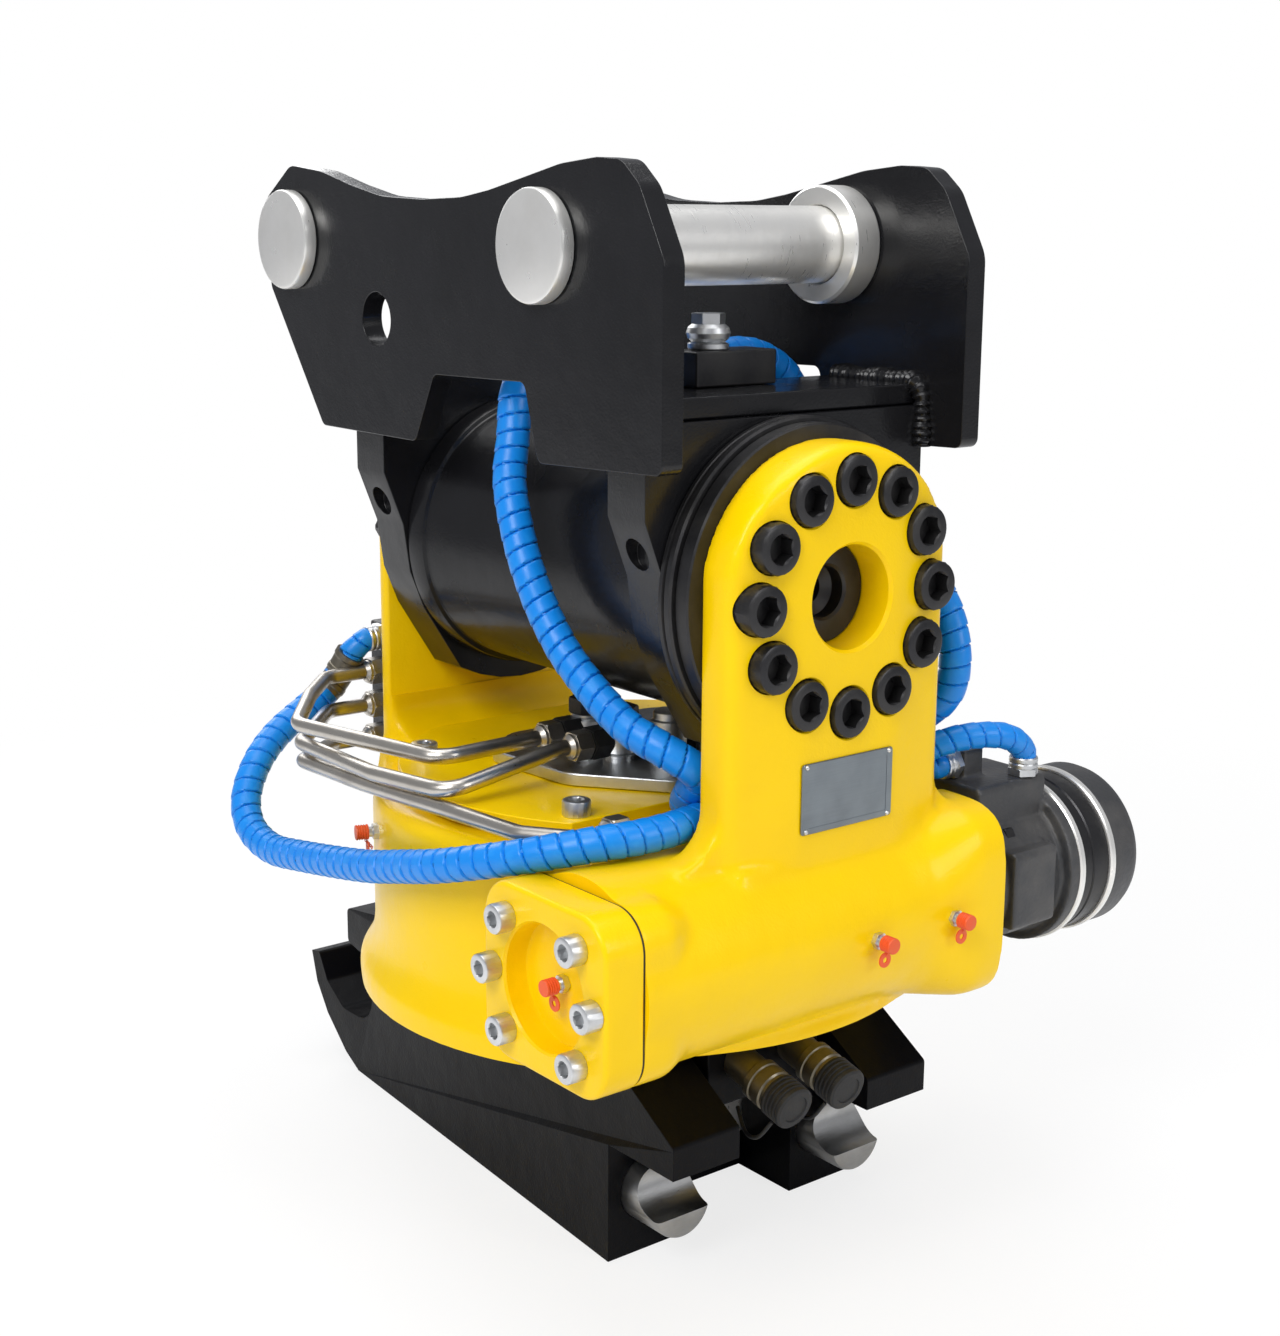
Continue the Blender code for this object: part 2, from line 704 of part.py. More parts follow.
def lock_pieces():
    """Lock cylinder, crosshead with its rod and piston, and the two tongues."""
    gland = 0.008
    turned("lock_cylinder", [
        (0.0, LOCK_CYLINDER_REAR), (LOCK_CYLINDER_RADIUS, LOCK_CYLINDER_REAR),
        (LOCK_CYLINDER_RADIUS, LOCK_CYLINDER_FRONT),
        (LOCK_ROD_RADIUS + RUN, LOCK_CYLINDER_FRONT),
        (LOCK_ROD_RADIUS + RUN, LOCK_CYLINDER_FRONT - gland),
        (LOCK_BORE, LOCK_CYLINDER_FRONT - gland), (LOCK_BORE, LOCK_CYLINDER_REAR + gland),
        (0.0, LOCK_CYLINDER_REAR + gland)], STEEL, "X", (0.0, 0.0, TONGUE_Z), 24)
    back = TONGUE_BACK_X - CROSSHEAD_LENGTH
    half = TONGUE_Y + 0.008
    head = prism("lock_crosshead", rounded([
        (-half, -CROSSHEAD_HEIGHT / 2, 0.006), (half, -CROSSHEAD_HEIGHT / 2, 0.006),
        (half, CROSSHEAD_HEIGHT / 2, 0.006), (-half, CROSSHEAD_HEIGHT / 2, 0.006)]),
        "X", back, TONGUE_BACK_X, STEEL, (0.0, TONGUE_Z))
    rod = turned("rod", [
        (0.0, LOCK_PISTON_X), (LOCK_BORE - RUN, LOCK_PISTON_X),
        (LOCK_BORE - RUN, LOCK_PISTON_X + LOCK_PISTON_LENGTH),
        (LOCK_ROD_RADIUS, LOCK_PISTON_X + LOCK_PISTON_LENGTH),
        (LOCK_ROD_RADIUS, back + 0.004), (0.0, back + 0.004)],
        STEEL, "X", (0.0, 0.0, TONGUE_Z), 24)
    join(head, rod)
    tongues = []
    for name, side in (("lock_tongue_near", -1), ("lock_tongue_far", 1)):
        tongue = bar(name, TONGUE_RADIUS, TONGUE_BACK_X + SEAT, TONGUE_TIP_X, STEEL, "X",
                     (0.0, side * TONGUE_Y, TONGUE_Z))
        scoop = bar("scoop", LOWER_PIN_RADIUS, -0.03, 0.03, STEEL, "Y",
                    (FRONT_SEAT_X, side * TONGUE_Y, FRONT_SEAT_Z))
        tongues.append(cut(tongue, scoop))
    return [head, *tongues]


def coupling_pieces():
    """Feed block on the deck's front, two quick couplings and their rubber dust caps."""
    front = DECK_TAPER_END + SEAT + FEED_LENGTH
    feed = block("feed_block", (DECK_TAPER_END + SEAT, -FEED_HALF, FEED_BOTTOM),
                 (front, FEED_HALF, DECK_TOP), BLACK)
    pieces = [feed]
    aim = Matrix.Rotation(math.radians(90) + COUPLING_DIP, 4, "Y")
    reach = (COUPLING_FACE_X - front) / math.cos(COUPLING_DIP)
    body_end = -DUST_CAP_LENGTH - SEAT
    flat = block("flat", (-0.05, -0.1, 0.0), (front + SEAT, 0.1, 0.3), BLACK)
    for name, side in (("near", -1), ("far", 1)):
        centre = (COUPLING_FACE_X, side * COUPLING_Y, COUPLING_FACE_Z)
        r = COUPLING_RADIUS
        body = turned("coupling_" + name, [
            (0.0, -reach - 0.01), (r * 0.9, -reach - 0.01), (r * 0.9, -0.032),
            (r * 1.08, -0.032), (r * 1.08, body_end), (0.0, body_end)],
            CASTING, "X", centre, 16, aim)
        trim = flat.copy()
        trim.data = flat.data.copy()
        bpy.context.scene.collection.objects.link(trim)
        pieces.append(cut(body, trim))
        pieces.append(turned("dust_cap_" + name, [
            (0.0, -DUST_CAP_LENGTH), (DUST_CAP_RADIUS, -DUST_CAP_LENGTH),
            (DUST_CAP_RADIUS, -0.002), (DUST_CAP_RADIUS - 0.002, 0.0), (0.0, 0.0)],
            RUBBER, "X", centre, 16, aim))
    bpy.data.objects.remove(flat, do_unlink=True)
    return pieces


def involute(angle):
    """Involute function of a pressure angle."""
    return math.tan(angle) - angle


def worm_wheel():
    """Bronze slewing gear with its hub; a tooth gap faces the worm."""
    pitch_radius = MODULE * WHEEL_TEETH / 2
    base = pitch_radius * math.cos(PRESSURE_ANGLE)
    tip = pitch_radius + MODULE
    root = pitch_radius - 1.18 * MODULE
    half_at_pitch = (math.pi * MODULE / 2 - BACKLASH) / 2 / pitch_radius
    outline = []
    for index in range(WHEEL_TEETH):
        middle = (index + 0.5) * 2 * math.pi / WHEEL_TEETH
        flank = []
        for radius in (root, tip):
            slope = math.acos(min(1.0, base / radius))
            half = half_at_pitch + involute(PRESSURE_ANGLE) - involute(slope)
            flank.append((radius, half))
        for radius, half in flank:
            outline.append(on_circle(radius, math.degrees(middle - half)))
        for radius, half in reversed(flank):
            outline.append(on_circle(radius, math.degrees(middle + half)))
    slant = MODULE / (2 * WORM_PITCH_RADIUS) / pitch_radius
    low = -WHEEL_FACE / 2
    wheel = twisted("worm_wheel", outline, low, -low, slant, WHEEL_FACE, "Z", (0.0, 0.0), BRONZE)
    wheel.data.transform(Matrix.Translation((0.0, 0.0, WORM_Z)))
    hub = turned("hub", [
        (0.0, DECK_TOP + SEAT), (HUB_RADIUS, DECK_TOP + SEAT), (HUB_RADIUS, WORM_Z),
        (UPPER_HUB_RADIUS, WORM_Z), (UPPER_HUB_RADIUS, HUB_TOP), (0.0, HUB_TOP)],
        BRONZE, sides=LARGE_SIDES)
    bore = bar("bore", SLEEVE_RADIUS + SEAT, 0.0, 0.3, BRONZE)
    return cut(join(wheel, hub), bore)


def swivel_sleeve():
    """Sleeve of the oil swivel, which stands in the hub and turns on the fixed pin."""
    return ring_piece("swivel_sleeve", SLEEVE_RADIUS, SWIVEL_RADIUS + RUN, DECK_TOP + SEAT,
                      SLEEVE_TOP, STEEL, sides=SIDES)


def worm_pieces():
    """The worm with its shaft, and the motor's shaft behind it."""
    tip = WORM_PITCH_RADIUS + MODULE
    root = WORM_PITCH_RADIUS - 1.2 * MODULE
    lead = math.pi * MODULE
    slope = math.tan(PRESSURE_ANGLE)
    half_pitch_line = (lead / 2 - BACKLASH) / 2
    sunk = root - 0.002
    per_turn = 16
    turns = 2 * (WORM_THREAD_HALF - 0.006) / lead
    steps = round(turns * per_turn)
    shape = bmesh.new()
    rings = []
    for step in range(steps + 1):
        angle = 2 * math.pi * (step - steps / 2) / per_turn
        along = lead * angle / (2 * math.pi)
        ring = []
        for radius, side in ((sunk, -1), (tip, -1), (tip, 1), (sunk, 1)):
            half = half_pitch_line - (radius - WORM_PITCH_RADIUS) * slope
            ring.append(shape.verts.new((-radius * math.cos(angle), along + side * half,
                                         radius * math.sin(angle))))
        rings.append(ring)
    shape.faces.new(rings[0])
    shape.faces.new(rings[-1])
    for low, high in zip(rings, rings[1:]):
        for index in range(4):
            after = (index + 1) % 4
            shape.faces.new((low[index], low[after], high[after], high[index]))
    thread = add_object("thread", shape, STEEL)
    thread.data.transform(Matrix.Translation((WORM_X, 0.0, WORM_Z)))
    centre = (WORM_X, 0.0, WORM_Z)
    near_end = CASE_SEAM_Y + 0.005
    far_end = CASE_END_Y - 0.006
    worm = turned("worm", [
        (0.0, near_end), (WORM_SHAFT_RADIUS, near_end),
        (WORM_SHAFT_RADIUS, -WORM_THREAD_HALF - 0.004), (root, -WORM_THREAD_HALF),
        (root, WORM_THREAD_HALF), (WORM_SHAFT_RADIUS, WORM_THREAD_HALF + 0.004),
        (WORM_SHAFT_RADIUS, far_end), (0.0, far_end)], STEEL, "Y", centre, 16)
    join(worm, thread)
    shaft = bar("motor_shaft", MOTOR_SHAFT_RADIUS, far_end + SEAT, MOTOR_SHAFT_END, STEEL, "Y",
                centre, 24)
    return [worm, shaft]


def worm_bearings():
    """Two bearing bushes of the worm, seated in its tunnel."""
    centre = (WORM_X, 0.0, WORM_Z)
    near = CASE_SEAM_Y + 0.005
    far = CASE_END_Y - 0.006
    return [
        ring_piece("worm_bearing_near", TUNNEL_RADIUS - SEAT, WORM_SHAFT_RADIUS + RUN, near,
                   near + WORM_BEARING_LENGTH, BRONZE, "Y", centre, SIDES),
        ring_piece("worm_bearing_far", TUNNEL_RADIUS - SEAT, WORM_SHAFT_RADIUS + RUN,
                   far - WORM_BEARING_LENGTH, far, BRONZE, "Y", centre, SIDES),
    ]


def ear(name, inner, face):
    """One ear: bowed in plan, round on top about the tilt axis, with a soft outer edge."""
    out = math.copysign(1.0, face)
    flank = face - out * EAR_CROWN
    bowed = prism(name, rounded([
        (inner, -EAR_HALF), (flank, -EAR_HALF, EAR_EDGE), (face, -EAR_FLAT_HALF, 0.05),
        (face, EAR_FLAT_HALF, 0.05), (flank, EAR_HALF, EAR_EDGE), (inner, EAR_HALF)]),
        "Z", WORM_Z - 0.015, TILT_Z + EAR_ROUND + 0.01, YELLOW)
    edge = EAR_EDGE
    profile = [(0.0, inner - out * 0.01), (EAR_ROUND, inner - out * 0.01)]
    for step in range(4):
        angle = math.radians(90 * step / 3)
        profile.append((EAR_ROUND - edge + edge * math.cos(angle),
                        face - out * edge * (1 - math.sin(angle))))
    profile.append((0.0, face))
    round_top = turned("round_top", profile, YELLOW, "X", (0.0, 0.0, TILT_Z), BODY_SIDES)
    foot = block("foot", (min(inner, face) - 0.02, -EAR_HALF - 0.02, 0.05),
                 (max(inner, face) + 0.02, EAR_HALF + 0.02, TILT_Z), YELLOW)
    return keep_common(bowed, join(round_top, foot))


def round_square(half_x, half_z, power, count=40):
    """Outline between a circle (power 2) and a square with soft corners."""
    points = []
    for index in range(count):
        angle = 2 * math.pi * index / count
        cosine = math.cos(angle)
        sine = math.sin(angle)
        points.append((
            WORM_X + half_x * math.copysign(abs(cosine) ** (2 / power), cosine),
            WORM_Z + half_z * math.copysign(abs(sine) ** (2 / power), sine)))
    return points


def cap_outline():
    """Outline of the worm cap and of the case's end under it."""
    return rounded([
        (-CAP_HALF_X, -CAP_HALF_Z, CAP_CORNER), (CAP_HALF_X, -CAP_HALF_Z, CAP_CORNER),
        (CAP_HALF_X, CAP_HALF_Z, CAP_CORNER), (-CAP_HALF_X, CAP_HALF_Z, CAP_CORNER)])


def ear_holes(inner, face, head_top):
    """Cutters of one ear: the shaft's bore and the counterbored bolt holes."""
    out = math.copysign(1.0, face)
    floor = head_top - out * (EAR_HEAD_HEIGHT + SEAT)
    low, high = sorted((inner - out * 0.01, floor + out * 0.001))
    deep, outer = sorted((floor, face + out * 0.02))
    shanks = []
    heads = []
    for index in range(EAR_BOLTS):
        y, z = on_circle(EAR_BOLT_CIRCLE, 90 + 360 * index / EAR_BOLTS)
        centre = (0.0, y, TILT_Z + z)
        shanks.append(bar("shank", EAR_BOLT_RADIUS + SEAT, low, high, YELLOW, "X", centre,
                          SHANK_SIDES, BOLT_PHASE))
        heads.append(bar("head", EAR_COUNTERBORE, deep, outer, YELLOW, "X", centre,
                         COUNTERBORE_SIDES))
    bore_low, bore_high = sorted((inner - out * 0.01, face + out * 0.02))
    bore = bar("bore", EAR_BORE, bore_low, bore_high, YELLOW, "X", (0.0, 0.0, TILT_Z))
    return [cluster("shanks", shanks), cluster("heads", heads), bore]


def ear_bolts(root_x, head_top, head_sides, with_sockets):
    """The twelve bolts of one ear, from the flange they are screwed into."""
    out = math.copysign(1.0, head_top)
    under = head_top - out * EAR_HEAD_HEIGHT
    shank_low, shank_high = sorted((root_x, under + out * 0.002))
    head_low, head_high = sorted((under, head_top))
    shanks = []
    heads = []
    for index in range(EAR_BOLTS):
        y, z = on_circle(EAR_BOLT_CIRCLE, 90 + 360 * index / EAR_BOLTS)
        centre = (0.0, y, TILT_Z + z)
        shanks.append(bar("shank", EAR_BOLT_RADIUS, shank_low, shank_high, OXIDE, "X", centre,
                          SHANK_SIDES, BOLT_PHASE))
        heads.append(bar("head", EAR_HEAD_RADIUS, head_low, head_high, OXIDE, "X", centre,
                         head_sides))
    bolts = join(cluster("bolts", heads), cluster("shanks", shanks))
    if not with_sockets:
        return bolts
    low, high = sorted((head_top - out * SOCKET_DEPTH, head_top + out * 0.01))
    sockets = []
    for index in range(EAR_BOLTS):
        centre = on_circle(EAR_BOLT_CIRCLE, 90 + 360 * index / EAR_BOLTS)
        sockets.append(prism("socket", hexagon(SOCKET_WIDTH), "X", low, high, OXIDE,
                             (centre[0], TILT_Z + centre[1])))
    return cut(bolts, cluster("sockets", sockets))


def rotor_housing():
    """The cast housing: round body, worm case, both ears and the feet between them."""
    inside = 0.05
    flare = [(0.0, BODY_BOTTOM), (RIM_RADIUS - 0.008, BODY_BOTTOM), (RIM_RADIUS, BODY_BOTTOM + 0.007),
             (RIM_RADIUS, RIM_Z + 0.004), (BODY_RADIUS + 0.003, RIM_Z + 0.013),
             (BODY_RADIUS, RIM_Z + 0.026), (BODY_RADIUS, BODY_TOP - 0.009),
             (BODY_RADIUS - 0.0026, BODY_TOP - 0.0026), (BODY_RADIUS - 0.009, BODY_TOP),
             (0.0, BODY_TOP)]
    body = turned("rotor_housing", flare, YELLOW, sides=BODY_SIDES)
    case = bar("case", CASE_RADIUS, CASE_SEAM_Y + 0.004, CASE_END_Y - 0.02, YELLOW, "Y",
               (WORM_X, 0.0, WORM_Z), 40)
    boss = prism("boss", cap_outline(), "Y", CASE_SEAM_Y, CASE_SEAM_Y + CASE_BOSS_LENGTH,
                 YELLOW, (WORM_X, WORM_Z))
    square = CASE_FLANGE_HALF
    flange = loft("flange", [
        (0.040, round_square(CASE_RADIUS - 0.001, CASE_RADIUS - 0.001, 2.0)),
        (0.064, round_square(CASE_RADIUS, CASE_RADIUS, 2.4)),
        (0.080, round_square(square - 0.001, square - 0.001, 3.4)),
        (0.092, round_square(square, square, 4.4)),
        (CASE_END_Y, round_square(square, square, 4.4))], "Y", YELLOW)
    foot_z = WORM_Z + CASE_RADIUS
    skirt = prism("skirt", rounded([
        (-EAR_HALF - EAR_FOOT_RADIUS, foot_z), (-EAR_HALF, foot_z, EAR_FOOT_RADIUS),
        (-EAR_HALF, foot_z + 0.03), (EAR_HALF, foot_z + 0.03),
        (EAR_HALF, foot_z, EAR_FOOT_RADIUS), (EAR_HALF + EAR_FOOT_RADIUS, foot_z),
        (EAR_HALF + EAR_FOOT_RADIUS, foot_z - 0.03),
        (-EAR_HALF - EAR_FOOT_RADIUS, foot_z - 0.03)]),
        "X", FRONT_EAR_INNER - 0.0005, FRONT_EAR_FACE - 0.014, YELLOW)
    front = ear("front_ear", FRONT_EAR_INNER, FRONT_EAR_FACE)
    rear = ear("rear_ear", REAR_EAR_INNER, REAR_EAR_FACE)
    side = EAR_HALF - 0.001
    back = REAR_EAR_FACE + EAR_CROWN
    rear_foot = prism("rear_foot", rounded([
        (back, -side, 0.012), (back, side, 0.012), (-0.128, 0.105), (-0.100, 0.085),
        (-0.100, -0.085), (-0.128, -0.105)]), "Z", RIM_Z + 0.008, BODY_TOP - 0.001, YELLOW)
    rear_fillet = prism("rear_fillet", rounded([
        (REAR_EAR_INNER - 0.004, BODY_TOP - inside), (REAR_EAR_INNER - 0.004, BODY_TOP + 0.030),
        (REAR_EAR_INNER + 0.0003, BODY_TOP + 0.030),
        (REAR_EAR_INNER + 0.0003, BODY_TOP + 0.0045, 0.022),
        (COVER_CUT_REAR - 0.003, BODY_TOP + 0.0045), (COVER_CUT_REAR - 0.003, BODY_TOP - inside)]),
        "Y", -side + 0.002, side - 0.002, YELLOW)
    block_pad = block("block_pad", (FRONT_BLOCK_REAR, FRONT_BLOCK_NEAR_Y, BODY_TOP - 0.01),
                      (FRONT_BLOCK_FRONT, FRONT_BLOCK_FAR_Y, foot_z), YELLOW)
    pipe_boss = block("pipe_boss", (PIPE_BOSS_X - 0.009, PIPE_BOSS_Y, BODY_TOP - 0.01),
                      (PIPE_BOSS_X + 0.009, PIPE_BOSS_Y + 0.018, PIPE_BOSS_Z + 0.0095), YELLOW)
    join(body, case, boss, flange, front, skirt, rear, rear_foot, rear_fillet, block_pad,
         pipe_boss)
    cavity = turned("cavity", [
        (0.0, 0.1), (CAVITY_RADIUS, 0.1), (CAVITY_RADIUS, CAVITY_TOP), (TOP_BORE, CAVITY_TOP),
        (TOP_BORE, 0.3), (0.0, 0.3)], YELLOW, sides=LARGE_SIDES)
    tunnel = bar("tunnel", TUNNEL_RADIUS, CASE_SEAM_Y - 0.01, CASE_END_Y + 0.01, YELLOW, "Y",
                 (WORM_X, 0.0, WORM_Z))
    motor_pocket = bar("motor_pocket", MOTOR_RADIUS + MOTOR_CLEARANCE, CASE_END_Y,
                       MOTOR_PORT_END, YELLOW, "Y", (WORM_X, 0.0, WORM_Z), MOTOR_SIDES)
    return cut(body, cavity, tunnel, motor_pocket,
               *ear_holes(FRONT_EAR_INNER, FRONT_EAR_FACE, FRONT_HEAD_TOP),
               *ear_holes(REAR_EAR_INNER, REAR_EAR_FACE, REAR_HEAD_TOP))


def base_pieces():
    """The ring that closes the housing from below, with its bush and seal on the hub."""
    carrier = CAVITY_RADIUS - SEAT
    seat = HUB_RADIUS + 0.009
    low = BODY_BOTTOM + 0.001
    top = WORM_Z - WORM_PITCH_RADIUS - MODULE - 0.004
    return [
        turned("base_ring", [
            (carrier, low), (carrier, top - 0.004), (seat + 0.010, top), (seat, top),
            (seat, low)], BLACK, sides=LARGE_SIDES),
        ring_piece("lower_bearing", seat - SEAT, HUB_RADIUS + RUN, low + 0.007, top, BRONZE),
        ring_piece("base_seal", seat - SEAT, HUB_RADIUS + RUN, low, low + 0.007 - SEAT, RUBBER),
        ring_piece("upper_bearing", TOP_BORE - SEAT, UPPER_HUB_RADIUS + RUN,
                   CAVITY_TOP + 0.001, HUB_TOP, BRONZE),
    ]


def worm_cap():
    """Cap over the worm's near end, with its recess and six socket bolts."""
    centre = (WORM_X, 0.0, WORM_Z)
    inner = CASE_SEAM_Y - SEAT
    cap = prism("worm_cap", cap_outline(), "Y", CAP_OUTER_Y, inner, YELLOW, (WORM_X, WORM_Z))
    bolts = []
    sockets = []
    for degrees in CAP_BOLT_ANGLES:
        x, z = on_circle(CAP_BOLT_CIRCLE, degrees)
        place = (WORM_X + x, 0.0, WORM_Z + z)
        bolts.append(bar("bolt", CAP_HEAD_RADIUS, CAP_OUTER_Y - CAP_HEAD_HEIGHT,
                         CAP_OUTER_Y + 0.002, STEEL, "Y", place, SMALL_SIDES))
        sockets.append(prism("socket", hexagon(0.008), "Y", CAP_OUTER_Y - CAP_HEAD_HEIGHT - 0.01,
                             CAP_OUTER_Y - CAP_HEAD_HEIGHT + 0.005, STEEL,
                             (WORM_X + x, WORM_Z + z)))
    recess = bar("recess", CAP_RECESS_RADIUS, CAP_OUTER_Y - 0.05, CAP_OUTER_Y + CAP_RECESS_DEPTH,
                 YELLOW, "Y", centre)
    cut(cap, recess)
    join(cap, cluster("bolts", bolts))
    return cut(cap, cluster("sockets", sockets))


def top_cover():
    """Round cover on the housing, cut flat at both ears, with its socket bolts."""
    low = BODY_TOP + SEAT
    top = low + COVER_THICK
    cover = turned("top_cover", [
        (0.0, low), (COVER_RADIUS, low), (COVER_RADIUS, top), (0.0, top)], YELLOW,
        sides=BODY_SIDES)
    front = block("front", (COVER_CUT_FRONT, -0.3, 0.2), (0.3, 0.3, 0.3), YELLOW)
    rear = block("rear", (-0.3, -0.3, 0.2), (COVER_CUT_REAR, 0.3, 0.3), YELLOW)
    bore = bar("bore", SWIVEL_RADIUS + SEAT, 0.2, 0.3, YELLOW)
    cut(cover, front, rear, bore)
    bolts = []
    for degrees in COVER_BOLT_ANGLES:
        x, y = on_circle(COVER_BOLT_CIRCLE, degrees)
        bolts.append(bar("bolt", CAP_HEAD_RADIUS, top - 0.002, top + CAP_HEAD_HEIGHT - 0.001,
                         STEEL, "Z", (x, y, 0.0), SMALL_SIDES))
    return join(cover, cluster("bolts", bolts))


def swivel_pieces():
    """Torque plate on the cover, and the grooved swivel pin with its ported head."""
    plate_low = BODY_TOP + COVER_THICK + 2 * SEAT
    plate_top = plate_low + TORQUE_THICK
    plate = prism("torque_plate", rounded([
        (-0.070, -0.050, 0.02), (-0.045, -0.083, 0.02), (0.028, -0.079, 0.025),
        (0.082, -0.037, 0.015), (0.082, 0.035, 0.015), (0.028, 0.075, 0.025),
        (-0.045, 0.075, 0.02), (-0.070, 0.050, 0.02)]), "Z", plate_low, plate_top, STEEL)
    cut(plate, bar("bore", SWIVEL_RADIUS + SEAT, 0.2, 0.3, STEEL))
    low = DECK_TOP + 0.004
    groove_pitch = (SLEEVE_TOP - DECK_TOP) / (SWIVEL_GROOVES + 1)
    profile = [(0.0, low), (SWIVEL_RADIUS, low)]
    for index in range(SWIVEL_GROOVES):
        middle = DECK_TOP + groove_pitch * (index + 1)
        inner = SWIVEL_RADIUS - SWIVEL_GROOVE_DEPTH
        profile += [(SWIVEL_RADIUS, middle - 0.004), (inner, middle - 0.003),
                    (inner, middle + 0.003), (SWIVEL_RADIUS, middle + 0.004)]
    head_low = plate_top + SEAT
    head_top = head_low + HEAD_HEIGHT
    profile += [(SWIVEL_RADIUS, head_low + 0.004), (0.0, head_low + 0.004)]
    pin = turned("swivel_pin", profile, STEEL)
    head = prism("head", rounded([
        (-0.034, SWIVEL_HEAD_Y, 0.005), (0.046, SWIVEL_HEAD_Y, 0.005), (0.046, 0.040, 0.005),
        (-0.034, 0.040, 0.005)]), "Z", head_low, head_top, OXIDE)
    plug_high = head_top + 0.008
    plugs = [prism("plug", hexagon(0.024), "Z", head_top - 0.002, plug_high, OXIDE, place)
             for place in ((-0.002, -0.044), (-0.022, -0.020))]
    post = bar("post", 0.011, head_top - 0.002, head_top + 0.008, STEEL, "Z",
               (0.030, -0.010, 0.0), SMALL_SIDES)
    join(pin, head, *plugs, post)
    return [plate, pin]


def motor_pieces():
    """The hydraulic motor on the worm's far end: port housing, gear ring and end cap."""
    centre = (WORM_X, 0.0, WORM_Z)
    r = MOTOR_RADIUS
    low = CASE_END_Y + SEAT
    housing = turned("motor_port_housing", [
        (0.0, low), (r, low), (r, low + 0.012), (r - 0.003, low + 0.014),
        (r - 0.003, MOTOR_PORT_END), (0.0, MOTOR_PORT_END)], CASTING, "Y", centre, MOTOR_SIDES)
    port = prism("port", rounded([
        (-0.026, -0.020), (0.026, -0.020), (0.026, MOTOR_PORT_TOP - WORM_Z, 0.004),
        (-0.026, MOTOR_PORT_TOP - WORM_Z, 0.004)]), "Y", low + 0.012, MOTOR_PORT_END - 0.006,
        CASTING, (WORM_X, WORM_Z))
    elbow = block("elbow", (WORM_X - 0.0115, MOTOR_ELBOW_Y, MOTOR_PORT_TOP - 0.004),
                  (WORM_X + 0.0055, MOTOR_ELBOW_Y + 0.017, MOTOR_PORT_TOP + 0.0178), CASTING)
    cheek = prism("cheek", rounded([
        (-0.047, -0.020, 0.004), (0.047, -0.020, 0.004), (0.047, 0.020, 0.004),
        (-0.047, 0.020, 0.004)]), "Y", low + 0.020, MOTOR_PORT_END - 0.020, CASTING,
        (WORM_X, WORM_Z))
    join(housing, port, cheek, elbow)
    cut(housing, bar("bore", MOTOR_SHAFT_RADIUS + RUN, low - 0.01, MOTOR_SHAFT_END + 0.003,
                     CASTING, "Y", centre, 24))
    ring_low = MOTOR_PORT_END + SEAT
    ring = bar("motor_gear_ring", r + 0.001, ring_low, MOTOR_RING_END, STEEL, "Y", centre,
               MOTOR_SIDES)
    cap = turned("motor_end_cap", [
        (0.0, MOTOR_RING_END + SEAT), (r, MOTOR_RING_END + SEAT), (r, MOTOR_END - 0.006),
        (r - 0.006, MOTOR_END), (0.0, MOTOR_END)], CASTING, "Y", centre, MOTOR_SIDES)
    return [housing, ring, cap]


def shaft_turn():
    """Turn of the tilt helix for each metre along the shaft."""
    return 2 * math.pi / HELIX_LEAD


def tilt_shaft():
    """Tilt shaft with its six-start helix, front flange and the front ear's bolts."""
    centre = (0.0, 0.0, TILT_Z)
    flange_high = FRONT_EAR_INNER - SEAT
    flange_low = flange_high - SHAFT_FLANGE_THICK
    shaft = turned("tilt_shaft", [
        (0.0, TAIL_END), (TAIL_RADIUS, TAIL_END), (TAIL_RADIUS, HELIX_REAR + 0.002),
        (HELIX_CORE, HELIX_REAR + 0.002), (HELIX_CORE, JOURNAL_START),
        (JOURNAL_RADIUS, JOURNAL_START), (JOURNAL_RADIUS, flange_low),
        (SHAFT_FLANGE_RADIUS, flange_low), (SHAFT_FLANGE_RADIUS, flange_high),
        (TAIL_RADIUS, flange_high), (TAIL_RADIUS, NOSE_END), (SHAFT_PORT_RADIUS, NOSE_END),
        (SHAFT_PORT_RADIUS, NOSE_END - 0.025), (0.0, NOSE_END - 0.025)],
        OXIDE, "X", centre, SHAFT_SIDES)
    helix = twisted("helix", lobes(HELIX_STARTS, HELIX_ROOT, HELIX_TIP, 0.30, 0.18),
                    HELIX_REAR, JOURNAL_START + 0.001, shaft_turn(), HELIX_LAYER, "X",
                    (0.0, TILT_Z), OXIDE)
    return join(shaft, helix, ear_bolts(flange_high - 0.004, FRONT_HEAD_TOP, SMALL_SIDES, True))


def tilt_end_flange():
    """Rear flange of the tilt shaft, with its spigot in the barrel and the rear bolts."""
    outer = REAR_EAR_INNER + SEAT
    inner = outer + END_FLANGE_THICK
    flange = turned("tilt_end_flange", [
        (END_FLANGE_RADIUS, outer), (END_FLANGE_RADIUS, inner),
        (BARREL_BORE - RUN, inner), (BARREL_BORE - RUN, inner + END_SPIGOT_LENGTH),
        (TAIL_RADIUS + SEAT, inner + END_SPIGOT_LENGTH), (TAIL_RADIUS + SEAT, outer)],
        OXIDE, "X", (0.0, 0.0, TILT_Z), LARGE_SIDES)
    return join(flange, ear_bolts(outer + 0.004, REAR_HEAD_TOP, 6, False))


